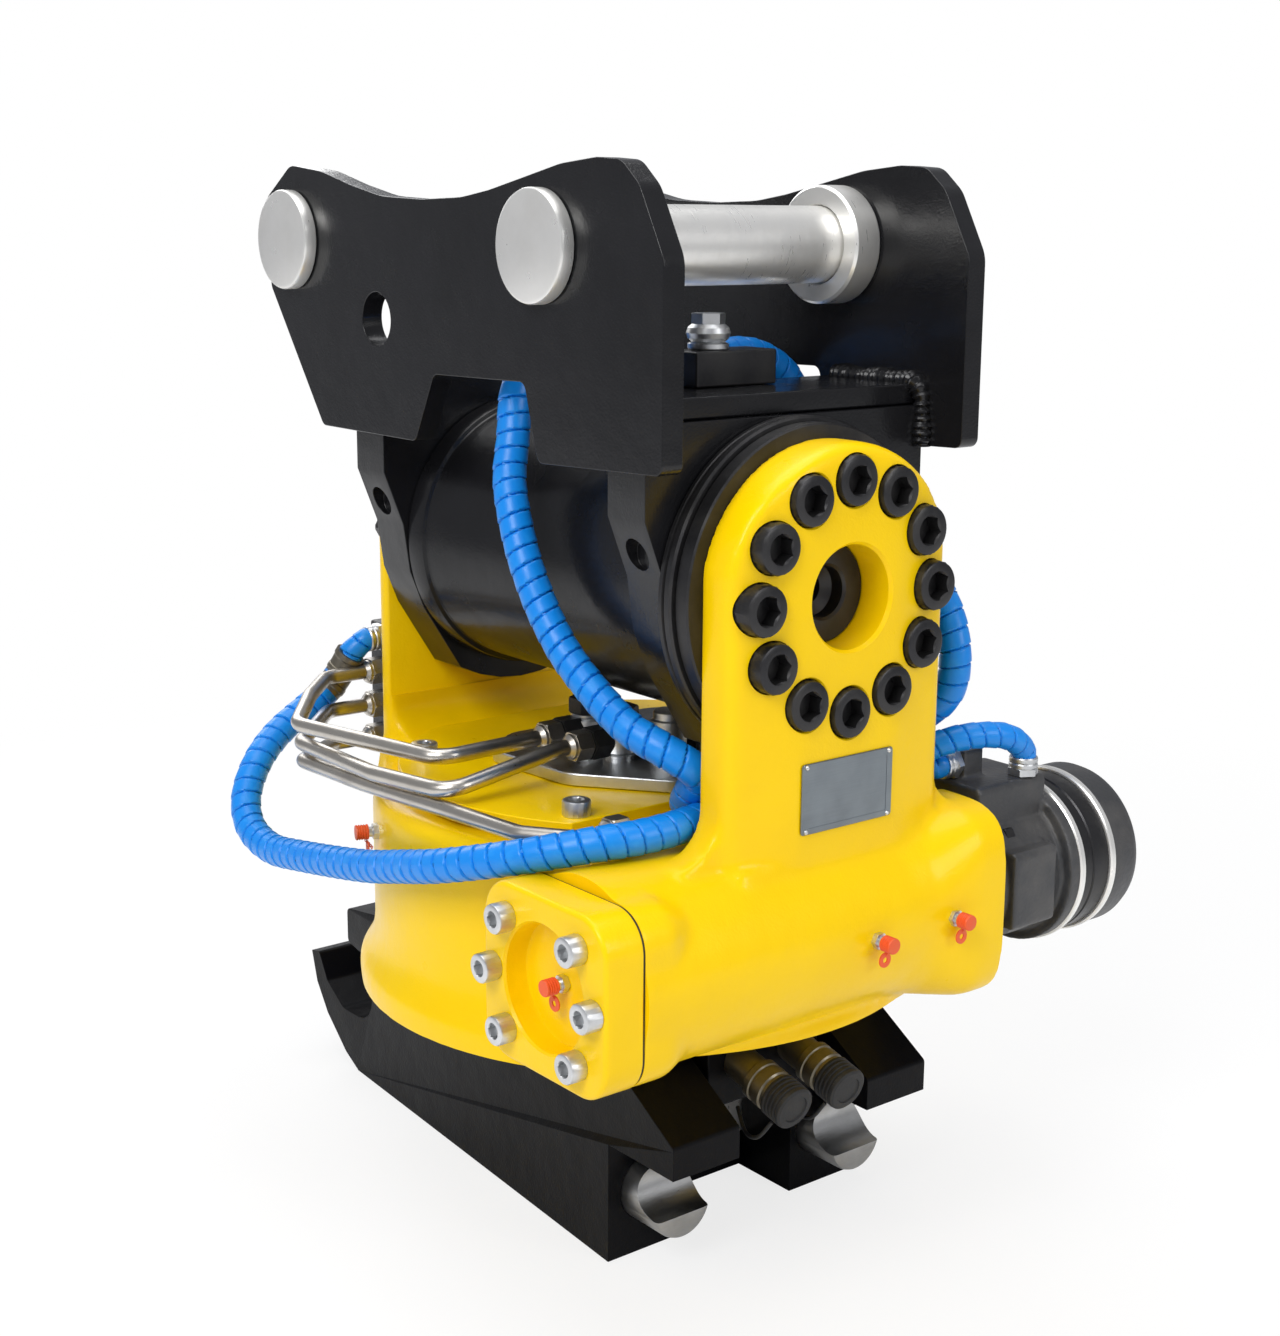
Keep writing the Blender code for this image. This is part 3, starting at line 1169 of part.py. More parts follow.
def tilt_piston():
    """Piston of the tilt actuator: helical bore inside, straight splines outside."""
    centre = (0.0, 0.0, TILT_Z)
    head_end = PISTON_REAR + PISTON_HEAD_LENGTH
    piston = prism("tilt_piston", lobes(SPLINES, SPLINE_ROOT, SPLINE_TIP, 0.30, 0.22), "X",
                   head_end - 0.002, PISTON_END, STEEL, (0.0, TILT_Z))
    join(piston, bar("head", BARREL_BORE - RUN, PISTON_REAR, head_end, STEEL, "X", centre,
                     LARGE_SIDES))
    bore = twisted("bore", lobes(HELIX_STARTS, HELIX_ROOT + HELIX_GAP, HELIX_TIP + HELIX_GAP,
                                 0.325, 0.205),
                   PISTON_REAR - 0.007, PISTON_NUT_END + 0.002, shaft_turn(), HELIX_LAYER, "X",
                   (0.0, TILT_Z), STEEL)
    plain = bar("plain", SLEEVE_BORE, PISTON_NUT_END, PISTON_END + 0.01, STEEL, "X", centre)
    return cut(piston, bore, plain)


def actuator_shell():
    """Barrel, gland and spline ring of the tilt actuator, which tilt with the hitch."""
    centre = (0.0, 0.0, TILT_Z)
    front = plate_front()
    rear = barrel_rear()
    collar_low = rear_plate_front() + SEAT
    barrel = turned("tilt_barrel", [
        (BARREL_RADIUS, rear), (BARREL_RADIUS, collar_low), (COLLAR_RADIUS, collar_low),
        (COLLAR_RADIUS, collar_low + COLLAR_LENGTH), (BARREL_RADIUS, collar_low + COLLAR_LENGTH),
        (BARREL_RADIUS, front), (BARREL_BORE, front), (BARREL_BORE, rear)],
        BLACK, "X", centre, LARGE_SIDES)
    flange_low = front + SEAT
    gland = turned("tilt_gland", [
        (JOURNAL_RADIUS + RUN, front - GLAND_SPIGOT), (BARREL_BORE - SEAT, front - GLAND_SPIGOT),
        (BARREL_BORE - SEAT, flange_low), (GLAND_RADIUS, flange_low),
        (GLAND_RADIUS, flange_low + GLAND_THICK), (JOURNAL_RADIUS + RUN, flange_low + GLAND_THICK)],
        OXIDE, "X", centre, LARGE_SIDES)
    spline_ring = bar("spline_ring", BARREL_BORE - SEAT, SPLINE_RING_START, SPLINE_RING_END,
                      STEEL, "X", centre, LARGE_SIDES)
    gap = SPLINE_GAP
    cut(spline_ring, prism("splines", lobes(SPLINES, SPLINE_ROOT + gap, SPLINE_TIP + gap,
                                            0.33, 0.25),
                           "X", SPLINE_RING_START - 0.01, SPLINE_RING_END + 0.01, STEEL,
                           (0.0, TILT_Z)))
    return [barrel, gland, spline_ring]


def plate_front():
    """Front face of the front end plate, behind the gland and the shaft's flange."""
    return FRONT_EAR_INNER - SHAFT_FLANGE_THICK - GLAND_THICK - 3 * SEAT


def barrel_rear():
    """Rear end of the barrel, in front of the rear flange."""
    return REAR_EAR_INNER + END_FLANGE_THICK + 2 * SEAT


def rear_plate_front():
    """Front face of the rear end plate, which stands clear of the rear ear."""
    return REAR_EAR_INNER + 0.003 + END_PLATE_THICK


def end_plate(name, rear, top):
    """One end plate: wide at the side plates, tapering to a round foot under the barrel."""
    arc_half = math.radians(28.6)
    right = [(0.1034, 0.044), (0.090, 0.010), (0.0855, -0.0205), (0.0755, -0.045),
             (0.062, -0.066)]
    points = [(0.1034, top - TILT_Z)] + right
    for step in range(7):
        angle = math.radians(-90) + arc_half * (1 - step / 3)
        points.append((END_PLATE_ARC * math.cos(angle), END_PLATE_ARC * math.sin(angle)))
    points += [(-y, z) for y, z in reversed(right)]
    points.append((-0.1034, top - TILT_Z))
    plate = prism(name, points, "X", rear, rear + END_PLATE_THICK, BLACK, (0.0, TILT_Z))
    bore = bar("bore", BARREL_RADIUS + SEAT, rear - 0.01, rear + END_PLATE_THICK + 0.01, BLACK,
               "X", (0.0, 0.0, TILT_Z), LARGE_SIDES)
    middle = rear + END_PLATE_THICK / 2
    edge_holes = cluster("edge_holes", [
        bar("hole", EDGE_HOLE_RADIUS, low, high, BLACK, "Y", (middle, 0.0, EDGE_HOLE_Z), 16)
        for low, high in ((-0.12, -0.0885), (0.0885, 0.12))])
    return cut(plate, bore, edge_holes)


def side_plate(name, side):
    """One cut side plate of the hitch, with its pin holes and round hole."""
    outline = [
        (0.1633, 0.470), (0.1633, 0.5784), (0.1439, 0.614), (0.1284, 0.6269), (0.1077, 0.6284),
        (0.0768, 0.6257), (0.0406, 0.6185), (0.010, 0.6125), (-0.0175, 0.6087), (-0.0589, 0.6077),
        (-0.1026, 0.6096), (-0.138, 0.6165), (-0.1724, 0.6248), (-0.2097, 0.6289),
        (-0.2439, 0.6075), (-0.2388, 0.5528), (-0.1767, 0.4683), (-0.0686, 0.4677),
        (-0.0476, 0.5082), (0.0431, 0.5098), (0.0556, 0.4665)]
    inner = PLATE_OUTER - PLATE_THICK
    low, high = sorted((side * inner, side * PLATE_OUTER))
    plate = prism(name, outline, "Y", low, high, BLACK)
    holes = [(FRONT_PIN_X, PIN_Z, PIN_RADIUS + SEAT), (REAR_PIN_X, PIN_Z, PIN_RADIUS + SEAT),
             (SIDE_HOLE_X, SIDE_HOLE_Z, SIDE_HOLE_RADIUS)]
    cutters = [bar("hole", radius, low - 0.01, high + 0.01, BLACK, "Y", (x, 0.0, z))
               for x, z, radius in holes]
    return cut(plate, cluster("holes", cutters))


def hitch_pin(name, x):
    """One steel pin through both side plates, with its head on the near side."""
    face = PLATE_OUTER + SEAT
    return turned(name, [
        (0.0, -face - PIN_HEAD_PROUD), (PIN_HEAD_RADIUS, -face - PIN_HEAD_PROUD),
        (PIN_HEAD_RADIUS, -face), (PIN_RADIUS, -face), (PIN_RADIUS, face + PIN_FAR_PROUD),
        (0.0, face + PIN_FAR_PROUD)],
        STEEL, "Y", (x, 0.0, PIN_Z))


def pin_collars():
    """The four collars on the pins, against the inner faces of the side plates."""
    inner = PLATE_OUTER - PLATE_THICK - SEAT
    made = []
    for place, x in (("front", FRONT_PIN_X), ("rear", REAR_PIN_X)):
        for side_name, side in (("near", -1), ("far", 1)):
            face = side * inner
            end = side * (inner - COLLAR_WIDTH)
            made.append(turned("collar_" + place + "_" + side_name, [
                (PIN_RADIUS + SEAT, face), (COLLAR_OUTER, face), (COLLAR_OUTER, end),
                (PIN_RADIUS + SEAT, end)], STEEL, "Y", (x, 0.0, PIN_Z)))
    return made


def hitch_pieces():
    """Side plates, end plates, cross plate, pins, collars and the port block on top."""
    front_rear = plate_front() - END_PLATE_THICK
    rear_rear = rear_plate_front() - END_PLATE_THICK
    cross_low = HITCH_TOP - CROSS_THICK
    pieces = [
        side_plate("side_plate_near", -1),
        side_plate("side_plate_far", 1),
        end_plate("end_plate_front", front_rear, cross_low - SEAT),
        end_plate("end_plate_rear", rear_rear, HITCH_TOP),
        block("cross_plate", (CROSS_REAR_X, -0.1034, cross_low),
              (CROSS_FRONT_X, 0.1034, HITCH_TOP), BLACK),
        hitch_pin("hitch_pin_front", FRONT_PIN_X),
        hitch_pin("hitch_pin_rear", REAR_PIN_X),
    ]
    port_low = HITCH_TOP + SEAT
    port = block("hitch_port_block", (HITCH_BLOCK_REAR, -0.030, port_low),
                 (HITCH_BLOCK_FRONT, 0.030, port_low + 0.020), BLACK)
    plug = turned("plug", [
        (0.0, port_low + 0.018), (0.012, port_low + 0.018), (0.012, port_low + 0.026),
        (0.009, port_low + 0.031), (0.007, port_low + 0.031), (0.007, port_low + 0.038),
        (0.0, port_low + 0.038)], STEEL, "Z", (0.072, -0.010, 0.0), 16)
    pieces.append(join(port, plug))
    return pieces + pin_collars()


def pipe_pieces():
    """Three bent steel pipes from the swivel's head and the worm case to the rear ports."""
    head = SWIVEL_HEAD_Y - SEAT
    rear = REAR_BLOCK_NEAR_Y - SEAT
    x = REAR_PORT_X
    return [
        pipe("pipe_upper", [
            (-0.008, head, 0.2915), (-0.008, -0.143, 0.2900), (-0.126, -0.171, 0.291),
            (-0.166, -0.139, 0.297), (x, -0.106, 0.2975), (x, rear, 0.2975)]),
        pipe("pipe_middle", [
            (0.0215, head, 0.2915), (0.0215, -0.079, 0.2915), (0.022, -0.157, 0.279),
            (-0.041, -0.168, 0.278), (-0.136, -0.163, 0.276), (x, -0.105, 0.2745),
            (x, rear, 0.2745)]),
        pipe("pipe_lower", [
            (PIPE_BOSS_X, PIPE_BOSS_Y - SEAT, PIPE_BOSS_Z), (PIPE_BOSS_X, -0.134, PIPE_BOSS_Z),
            (0.085, -0.152, 0.269), (0.020, -0.1575, 0.2685), (-0.058, -0.164, 0.267),
            (-0.140, -0.160, 0.263), (x, -0.103, 0.2515), (x, rear, 0.2515)]),
    ]


def port_blocks():
    """Steel port block behind the rear ear, and the valve block behind the front ear."""
    rear_face = REAR_EAR_FACE - SEAT
    rear = block("rear_port_block", (rear_face - 0.034, REAR_BLOCK_NEAR_Y, 0.240),
                 (rear_face, REAR_BLOCK_NEAR_Y + 0.042, 0.3295), CASTING)
    low = WORM_Z + CASE_RADIUS + SEAT
    front = block("front_port_block", (FRONT_BLOCK_REAR, FRONT_BLOCK_NEAR_Y, low),
                  (FRONT_BLOCK_FRONT, FRONT_BLOCK_FAR_Y, low + FRONT_BLOCK_HEIGHT), OXIDE)
    return [rear, front]


def front_port(x, side):
    """Centre of a port on the front block's near (-1) or far (1) side, and a point off it."""
    z = WORM_Z + CASE_RADIUS + SEAT + 0.013
    face = FRONT_BLOCK_NEAR_Y - SEAT if side < 0 else FRONT_BLOCK_FAR_Y + SEAT
    return [(x, face, z), (x, face + side * 0.016, z)]


def hose(name, points):
    """A hydraulic hose in its spiral guard: straight at both ends, smooth between them."""
    route = [Vector(points[0])] + flowing(points[1:-1], 4 * HOSE_RADIUS) + [Vector(points[-1])]
    return tube(name, route, HOSE_RADIUS, BLUE)


def fixed_hoses():
    """Hoses that start and end on the housing."""
    elbow_z = WORM_Z + CASE_RADIUS + SEAT + 0.013
    return [
        hose("hose_long", [
            (REAR_PORT_X, REAR_BLOCK_NEAR_Y - SEAT, 0.3205), (REAR_PORT_X, -0.088, 0.3205),
            (-0.200, -0.112, 0.319), (-0.190, -0.136, 0.314), (-0.180, -0.156, 0.304),
            (-0.181, -0.168, 0.286), (-0.187, -0.173, 0.265), (-0.186, -0.176, 0.243),
            (-0.174, -0.178, 0.225), (-0.148, -0.180, 0.215), (-0.104, -0.180, 0.213),
            (-0.052, -0.181, 0.219), (0.018, -0.180, 0.236), (0.073, -0.168, 0.252),
            (0.114, -0.154, 0.264), (0.134, -0.138, 0.2705), (0.144, -0.112, 0.2735),
            (0.144, -0.088, 0.275), (0.138, -0.070, 0.2753),
            *reversed(front_port(0.132, -1))]),
        hose("hose_motor_far", [
            *front_port(0.1375, 1), (0.140, 0.084, 0.280), (0.145, 0.099, 0.288),
            (0.156, 0.120, 0.295), (0.164, 0.143, 0.295), (0.166, 0.158, 0.290),
            (0.164, 0.170, 0.281), (0.164, 0.170, MOTOR_PORT_TOP + SEAT)]),
        hose("hose_motor_near", [
            *front_port(0.1195, 1), (0.123, 0.086, elbow_z), (0.134, 0.102, elbow_z),
            (0.143, 0.116, elbow_z), (0.143, MOTOR_ELBOW_Y - SEAT, elbow_z)]),
    ]


def tilting_hoses():
    """Hoses from the hitch down to the housing, across the tilt joint."""
    top = HITCH_TOP + SEAT + 0.010
    start = HITCH_BLOCK_REAR - SEAT
    return [
        hose("hose_tilt_near", [
            (start, -0.012, top), (start - 0.016, -0.012, top), (0.024, -0.026, 0.519),
            (0.008, -0.055, 0.522), (-0.002, -0.080, 0.515), (-0.003, -0.090, 0.500),
            (0.002, -0.096, 0.475), (0.008, -0.103, 0.454), (0.017, -0.107, 0.436),
            (0.026, -0.108, 0.416), (0.034, -0.108, 0.401), (0.044, -0.106, 0.382),
            (0.058, -0.103, 0.362), (0.074, -0.101, 0.348), (0.095, -0.098, 0.333),
            (0.112, -0.093, 0.321), (0.122, -0.083, 0.305), (0.119, -0.070, 0.286),
            *reversed(front_port(0.113, -1))]),
        hose("hose_tilt_far", [
            (start, 0.012, top), (start - 0.014, 0.012, top), (0.034, 0.032, 0.519),
            (0.032, 0.060, 0.518), (0.034, 0.083, 0.506), (0.040, 0.094, 0.484),
            (0.054, 0.105, 0.455), (0.080, 0.116, 0.427), (0.114, 0.123, 0.399),
            (0.136, 0.124, 0.374), (0.146, 0.123, 0.353), (0.148, 0.122, 0.333),
            (0.144, 0.119, 0.318), (0.133, 0.112, 0.306), (0.119, 0.100, 0.296),
            (0.106, 0.088, 0.283), *reversed(front_port(0.1015, 1))]),
    ]


def test_points():
    """Two capped test points: on the worm cap and on the body's side."""
    made = []
    aims = {
        "test_point_cap": ((WORM_X, CAP_OUTER_Y + CAP_RECESS_DEPTH - SEAT, WORM_Z),
                           Vector((0.0, -1.0, 0.0))),
        "test_point_side": ((-0.0585, -0.1555, 0.236), Vector((-0.352, -0.936, 0.0))),
    }
    for name, (place, direction) in aims.items():
        aim = direction.to_track_quat("Z", "Y").to_matrix().to_4x4()
        made.append(turned(name, [
            (0.0, 0.0), (0.0055, 0.0), (0.0055, 0.006), (0.004, 0.006), (0.004, 0.009),
            (0.006, 0.009), (0.006, 0.019), (0.0, 0.019)], ORANGE, "X", place, SMALL_SIDES, aim))
    return made


def nameplate():
    """The bare metal plate on the front ear."""
    face = FRONT_EAR_FACE + SEAT
    return block("nameplate", (face, -0.0355, 0.270), (face + 0.001, 0.0335, 0.310), STEEL)


def main():
    """Build every piece and hang it on the empty of the body that carries it."""
    clear_scene()
    carriers = make_carriers()
    moving_lock = lock_pieces()
    coupler_body()
    worm_wheel()
    swivel_sleeve()
    coupling_pieces()
    hang_on(carriers, "lock", *moving_lock)
    hang_on(carriers, "housing", rotor_housing(), worm_cap(), top_cover(), tilt_shaft(),
            tilt_end_flange(), nameplate(), *base_pieces(), *worm_bearings(), *swivel_pieces(),
            *motor_pieces(), *port_blocks(), *pipe_pieces(), *fixed_hoses(), *test_points())
    hang_on(carriers, "worm", *worm_pieces())
    hang_on(carriers, "hitch", *actuator_shell(), *hitch_pieces(), *tilting_hoses())
    hang_on(carriers, "tilt_piston", tilt_piston())


main()
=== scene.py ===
"""Looks of the tiltrotator: finishes, cast surfaces, bolts, pipes and hoses around its CAD frame.

Metres, +Z up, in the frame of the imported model. Every class builds one sub-assembly, gives its
pieces their finishes and hands each piece to the body that carries it.
"""
from __future__ import annotations

import json
import logging
import math
from dataclasses import dataclass, field
from enum import Enum
from typing import Any, Callable, Iterable, Sequence, Union

import bmesh
import bpy
from mathutils import Matrix, Vector

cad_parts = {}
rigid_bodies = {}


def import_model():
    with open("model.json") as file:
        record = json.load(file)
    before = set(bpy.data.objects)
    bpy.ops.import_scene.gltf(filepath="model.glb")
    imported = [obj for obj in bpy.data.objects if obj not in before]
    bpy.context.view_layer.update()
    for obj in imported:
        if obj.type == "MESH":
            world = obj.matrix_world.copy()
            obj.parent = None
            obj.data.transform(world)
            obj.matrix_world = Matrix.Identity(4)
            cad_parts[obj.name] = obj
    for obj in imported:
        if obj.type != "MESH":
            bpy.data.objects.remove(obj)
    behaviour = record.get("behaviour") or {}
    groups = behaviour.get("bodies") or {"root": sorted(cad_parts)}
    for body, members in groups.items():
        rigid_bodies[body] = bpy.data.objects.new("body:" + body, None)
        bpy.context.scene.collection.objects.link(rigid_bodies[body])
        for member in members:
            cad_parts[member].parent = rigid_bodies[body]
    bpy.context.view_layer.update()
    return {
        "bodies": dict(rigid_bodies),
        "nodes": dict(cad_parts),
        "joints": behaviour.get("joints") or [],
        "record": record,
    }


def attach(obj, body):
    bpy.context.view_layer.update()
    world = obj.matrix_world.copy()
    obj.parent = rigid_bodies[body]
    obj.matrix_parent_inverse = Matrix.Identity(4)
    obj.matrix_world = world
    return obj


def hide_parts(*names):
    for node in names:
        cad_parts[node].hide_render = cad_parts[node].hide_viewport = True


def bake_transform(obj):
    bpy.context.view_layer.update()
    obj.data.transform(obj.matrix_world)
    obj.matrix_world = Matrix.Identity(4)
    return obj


LOG = logging.getLogger("tiltrotator")

Flat = tuple[float, float]
Point = tuple[float, float, float]
Colour = tuple[float, float, float]
Item = bpy.types.Object

SEAT = 0.0003
TILT_Z = 0.398
WORM_X = 0.146
WORM_Z = 0.205
BOLT_CIRCLE = 0.064
EAR_BOLTS = 12
FRONT_HEAD_TOP = 0.1868
REAR_HEAD_TOP = -0.187
SHARP = 28.0


class Body(Enum):
    """Bodies of the frame that carry pieces."""

    COUPLER = "coupler"
    LOCK = "lock"
    HOUSING = "housing"
    HITCH = "hitch"


class Axis(Enum):
    """Axis that a profile turns about or an outline is extruded along."""

    X = "X"
    Y = "Y"
    Z = "Z"

    def place(self, u: float, v: float, along: float) -> Vector:
        """Put an outline point and a distance along the axis into space.

        Args:
            u: First coordinate across the axis.
            v: Second coordinate across the axis.
            along: Distance along the axis.

        Returns:
            The point in the frame.
        """
        if self is Axis.X:
            return Vector((along, u, v))
        if self is Axis.Y:
            return Vector((u, along, v))
        return Vector((u, v, along))

    def turn(self) -> Matrix:
        """Point +Z along the axis.

        Returns:
            The turn that does so.
        """
        if self is Axis.X:
            return Matrix.Rotation(math.radians(90), 4, "Y")
        if self is Axis.Y:
            return Matrix.Rotation(math.radians(-90), 4, "X")
        return Matrix.Identity(4)


class Cut(Enum):
    """What a Boolean does with its tools."""

    JOIN = "UNION"
    CUT = "DIFFERENCE"
    KEEP = "INTERSECT"


class Surface(Enum):
    """Finishes of the tiltrotator, named by the record's material slot and a variant."""

    YELLOW = "cast_yellow"
    BLACK = "satin_black"
    COUPLER = "satin_black.coupler"
    STEEL = "bright_steel"
    LOCK = "bright_steel.lock"
    ZINC = "bright_steel.zinc"
    STAINLESS = "bright_steel.pipe"
    PLATE = "bright_steel.plate"
    BRONZE = "bronze"
    OXIDE = "black_oxide"
    BLUE = "blue_guard"
    RUBBER = "rubber"
    CASTING = "motor_casting"
    SLEEVE = "motor_casting.sleeve"
    ORANGE = "orange_cap"

    @property
    def slot(self) -> str:
        """Material slot of the record that the finish stands for."""
        return self.value.split(".")[0]


class Signal:
    """A node's output that takes part in sums, differences and products."""

    def __init__(self, nodes: "Nodes", socket: bpy.types.NodeSocket) -> None:
        """Wrap one socket.

        Args:
            nodes: The node tree's wrapper.
            socket: The output socket.
        """
        self.nodes = nodes
        self.socket = socket

    def _math(self, operation: str, first: "Value", second: "Value") -> "Signal":
        """Add a Math node.

        Args:
            operation: The node's operation.
            first: First value or signal.
            second: Second value or signal.

        Returns:
            The node's result.
        """
        return self.nodes.node("ShaderNodeMath", {"operation": operation}, {0: first, 1: second})

    def __add__(self, other: "Value") -> "Signal":
        """Return this plus other."""
        return self._math("ADD", self, other)

    def __radd__(self, other: "Value") -> "Signal":
        """Return other plus this."""
        return self._math("ADD", other, self)

    def __sub__(self, other: "Value") -> "Signal":
        """Return this less other."""
        return self._math("SUBTRACT", self, other)

    def __rsub__(self, other: "Value") -> "Signal":
        """Return other less this."""
        return self._math("SUBTRACT", other, self)

    def __mul__(self, other: "Value") -> "Signal":
        """Return this times other."""
        return self._math("MULTIPLY", self, other)

    def __rmul__(self, other: "Value") -> "Signal":
        """Return other times this."""
        return self._math("MULTIPLY", other, self)


Value = Union[Signal, float, Sequence[float]]


class Nodes:
    """The node tree of a material or of the world."""

    def __init__(self, tree: bpy.types.NodeTree) -> None:
        """Keep the tree that nodes are added to.

        Args:
            tree: The node tree.
        """
        self.tree = tree

    def set_input(self, socket: bpy.types.NodeSocket, value: Value) -> None:
        """Give an input socket its value or its link.

        Args:
            socket: The input socket.
            value: A signal, a number, or a colour or vector.
        """
        if isinstance(value, Signal):
            self.tree.links.new(value.socket, socket)
        elif isinstance(value, (int, float)):
            socket.default_value = value
        else:
            socket.default_value = (*value, 1.0)[:len(socket.default_value)]

    def node(self, kind: str, settings: dict[str, Any], inputs: dict[Any, Value],
             output: int = 0) -> Signal:
        """Add a node of any type.

        Args:
            kind: The node's type.
            settings: Its properties, set first; "stops" sets a ramp's (position, colour) pairs.
            inputs: Values or signals of its sockets, by name or number.
            output: Number of the output to return.

        Returns:
            The chosen output.
        """
        made = self.tree.nodes.new(kind)
        for key, value in settings.items():
            if key == "stops":
                ramp = made.color_ramp
                while len(ramp.elements) < len(value):
                    ramp.elements.new(0.5)
                for stop, (position, colour) in zip(ramp.elements, value):
                    stop.position = position
                    stop.color = (*colour, 1.0)
            else:
                setattr(made, key, value)
        for key, value in inputs.items():
            self.set_input(made.inputs[key], value)
        return Signal(self, made.outputs[output])


class Shader(Nodes):
    """A material with one Principled shader, and the nodes that vary its surface."""

    def __init__(self, name: str, metallic: float, coat: float = 0.0, coat_roughness: float = 0.1,
                 specular: float = 0.5) -> None:
        """Make the material and set what is the same all over it.

        Args:
            name: The material's name.
            metallic: 1 for bare metal and 0 for paint or plastic.
            coat: Weight of the clear coat.
            coat_roughness: Roughness of the clear coat.
            specular: Specular level of the shader.
        """
        self.material = bpy.data.materials.new(name)
        self.material.use_nodes = True
        super().__init__(self.material.node_tree)
        self.surface = self.tree.nodes["Principled BSDF"]
        self.surface.inputs["Metallic"].default_value = metallic
        self.surface.inputs["Coat Weight"].default_value = coat
        self.surface.inputs["Coat Roughness"].default_value = coat_roughness
        self.surface.inputs["Specular IOR Level"].default_value = specular

    def place(self, stretch: Point = (1.0, 1.0, 1.0)) -> Signal:
        """Return the object's own coordinates, scaled along each axis.

        Args:
            stretch: Factor along X, Y and Z; a small one draws the pattern out.

        Returns:
            The coordinates as a vector.
        """
        raw = self.node("ShaderNodeTexCoord", {}, {}, 3)
        return self.node("ShaderNodeVectorMath", {"operation": "MULTIPLY"}, {0: raw, 1: stretch})

    def noise(self, place: Signal, scale: float, detail: float = 3.0,
              roughness: float = 0.5) -> Signal:
        """Return a noise between 0 and 1.

        Args:
            place: Coordinates.
            scale: Waves per metre.
            detail: Layers of finer noise.
            roughness: Strength of the finer layers.

        Returns:
            The noise.
        """
        return self.node("ShaderNodeTexNoise", {}, {
            "Vector": place, "Scale": scale, "Detail": detail, "Roughness": roughness})

    def between(self, signal: Signal, low: float, high: float) -> Signal:
        """Stretch a part of a signal's range to 0 to 1, and clamp the rest.

        Args:
            signal: The signal.
            low: Value that becomes 0.
            high: Value that becomes 1.

        Returns:
            The stretched signal.
        """
        return self.node("ShaderNodeMapRange", {"clamp": True}, {
            "Value": signal, "From Min": low, "From Max": high})

    def mix(self, factor: Value, first: Value, second: Value) -> Signal:
        """Mix two colours.

        Args:
            factor: Share of the second colour.
            first: First colour.
            second: Second colour.

        Returns:
            The mixed colour.
        """
        return self.node("ShaderNodeMix", {"data_type": "RGBA"},
                         {0: factor, 6: first, 7: second}, 2)

    def dress(self, colour: Value, roughness: Value, height: Signal, depth: float) -> None:
        """Send colour, roughness and height to the shader.

        Args:
            colour: Base colour.
            roughness: Roughness.
            height: Height of the fine surface, 0 to 1.
            depth: What a height of 1 stands for, in metres.
        """
        bump = self.node("ShaderNodeBump", {}, {"Strength": 1.0, "Distance": depth,
                                                "Height": height})
        for name, value in (("Base Color", colour), ("Roughness", roughness), ("Normal", bump)):
            self.set_input(self.surface.inputs[name], value)


@dataclass(frozen=True)
class Enamel:
    """Glossy paint over a casting or a cut plate."""

    name: str
    colour: Colour
    shade: Colour
    roughness: float
    coat: float
    ripple: float
    depth: float
    specular: float

    def build(self) -> bpy.types.Material:
        """Make the paint: clouded colour, orange peel and the casting's waves.

        Returns:
            The material.
        """
        shader = Shader(self.name, 0.0, self.coat, 0.12, self.specular)
        place = shader.place()
        cloud = shader.between(shader.noise(place, 14.0, 3.0), 0.35, 0.75)
        specks = shader.between(shader.noise(place, 420.0, 2.0), 0.68, 0.80)
        colour = shader.mix(cloud * 0.5 + specks * 0.25, self.colour, self.shade)
        waves = shader.noise(place, self.ripple, 2.0)
        peel = shader.noise(place, 650.0, 2.0)
        smear = shader.noise(place, 45.0, 4.0)
        shader.dress(colour, self.roughness + (smear - 0.5) * 0.22, waves * 0.8 + peel * 0.2,
                     self.depth)
        return shader.material


@dataclass(frozen=True)
class BareMetal:
    """Ground, plated, cast or blackened metal with its marks drawn out along one axis."""

    name: str
    colour: Colour
    shade: Colour
    roughness: float
    stretch: Point
    scale: float
    depth: float
    metallic: float = 1.0

    def build(self) -> bpy.types.Material:
        """Make the metal: fine marks, stains and an uneven sheen.

        Returns:
            The material.
        """
        shader = Shader(self.name, self.metallic)
        marks = shader.noise(shader.place(self.stretch), self.scale, 3.0, 0.6)
        stains = shader.between(shader.noise(shader.place(), 38.0, 4.0), 0.42, 0.72)
        colour = shader.mix(stains * 0.6 + marks * 0.35, self.colour, self.shade)
        roughness = self.roughness + (marks - 0.5) * 0.22 + stains * 0.10
        shader.dress(colour, roughness, marks, self.depth)
        return shader.material


@dataclass(frozen=True)
class Polymer:
    """Rubber or moulded plastic, with scuffs and a fine grain."""

    name: str
    colour: Colour
    scuffed: Colour
    roughness: float
    grain: float
    depth: float

    def build(self) -> bpy.types.Material:
        """Make the polymer: scuffed colour and a grained skin.

        Returns:
            The material.
        """
        shader = Shader(self.name, 0.0, specular=0.4)
        place = shader.place()
        scuffs = shader.between(shader.noise(place, 90.0, 5.0, 0.65), 0.52, 0.74)
        grain = shader.noise(place, self.grain, 2.0)
        colour = shader.mix(scuffs * 0.7, self.colour, self.scuffed)
        shader.dress(colour, self.roughness + (grain - 0.5) * 0.15 + scuffs * 0.1, grain,
                     self.depth)
        return shader.material


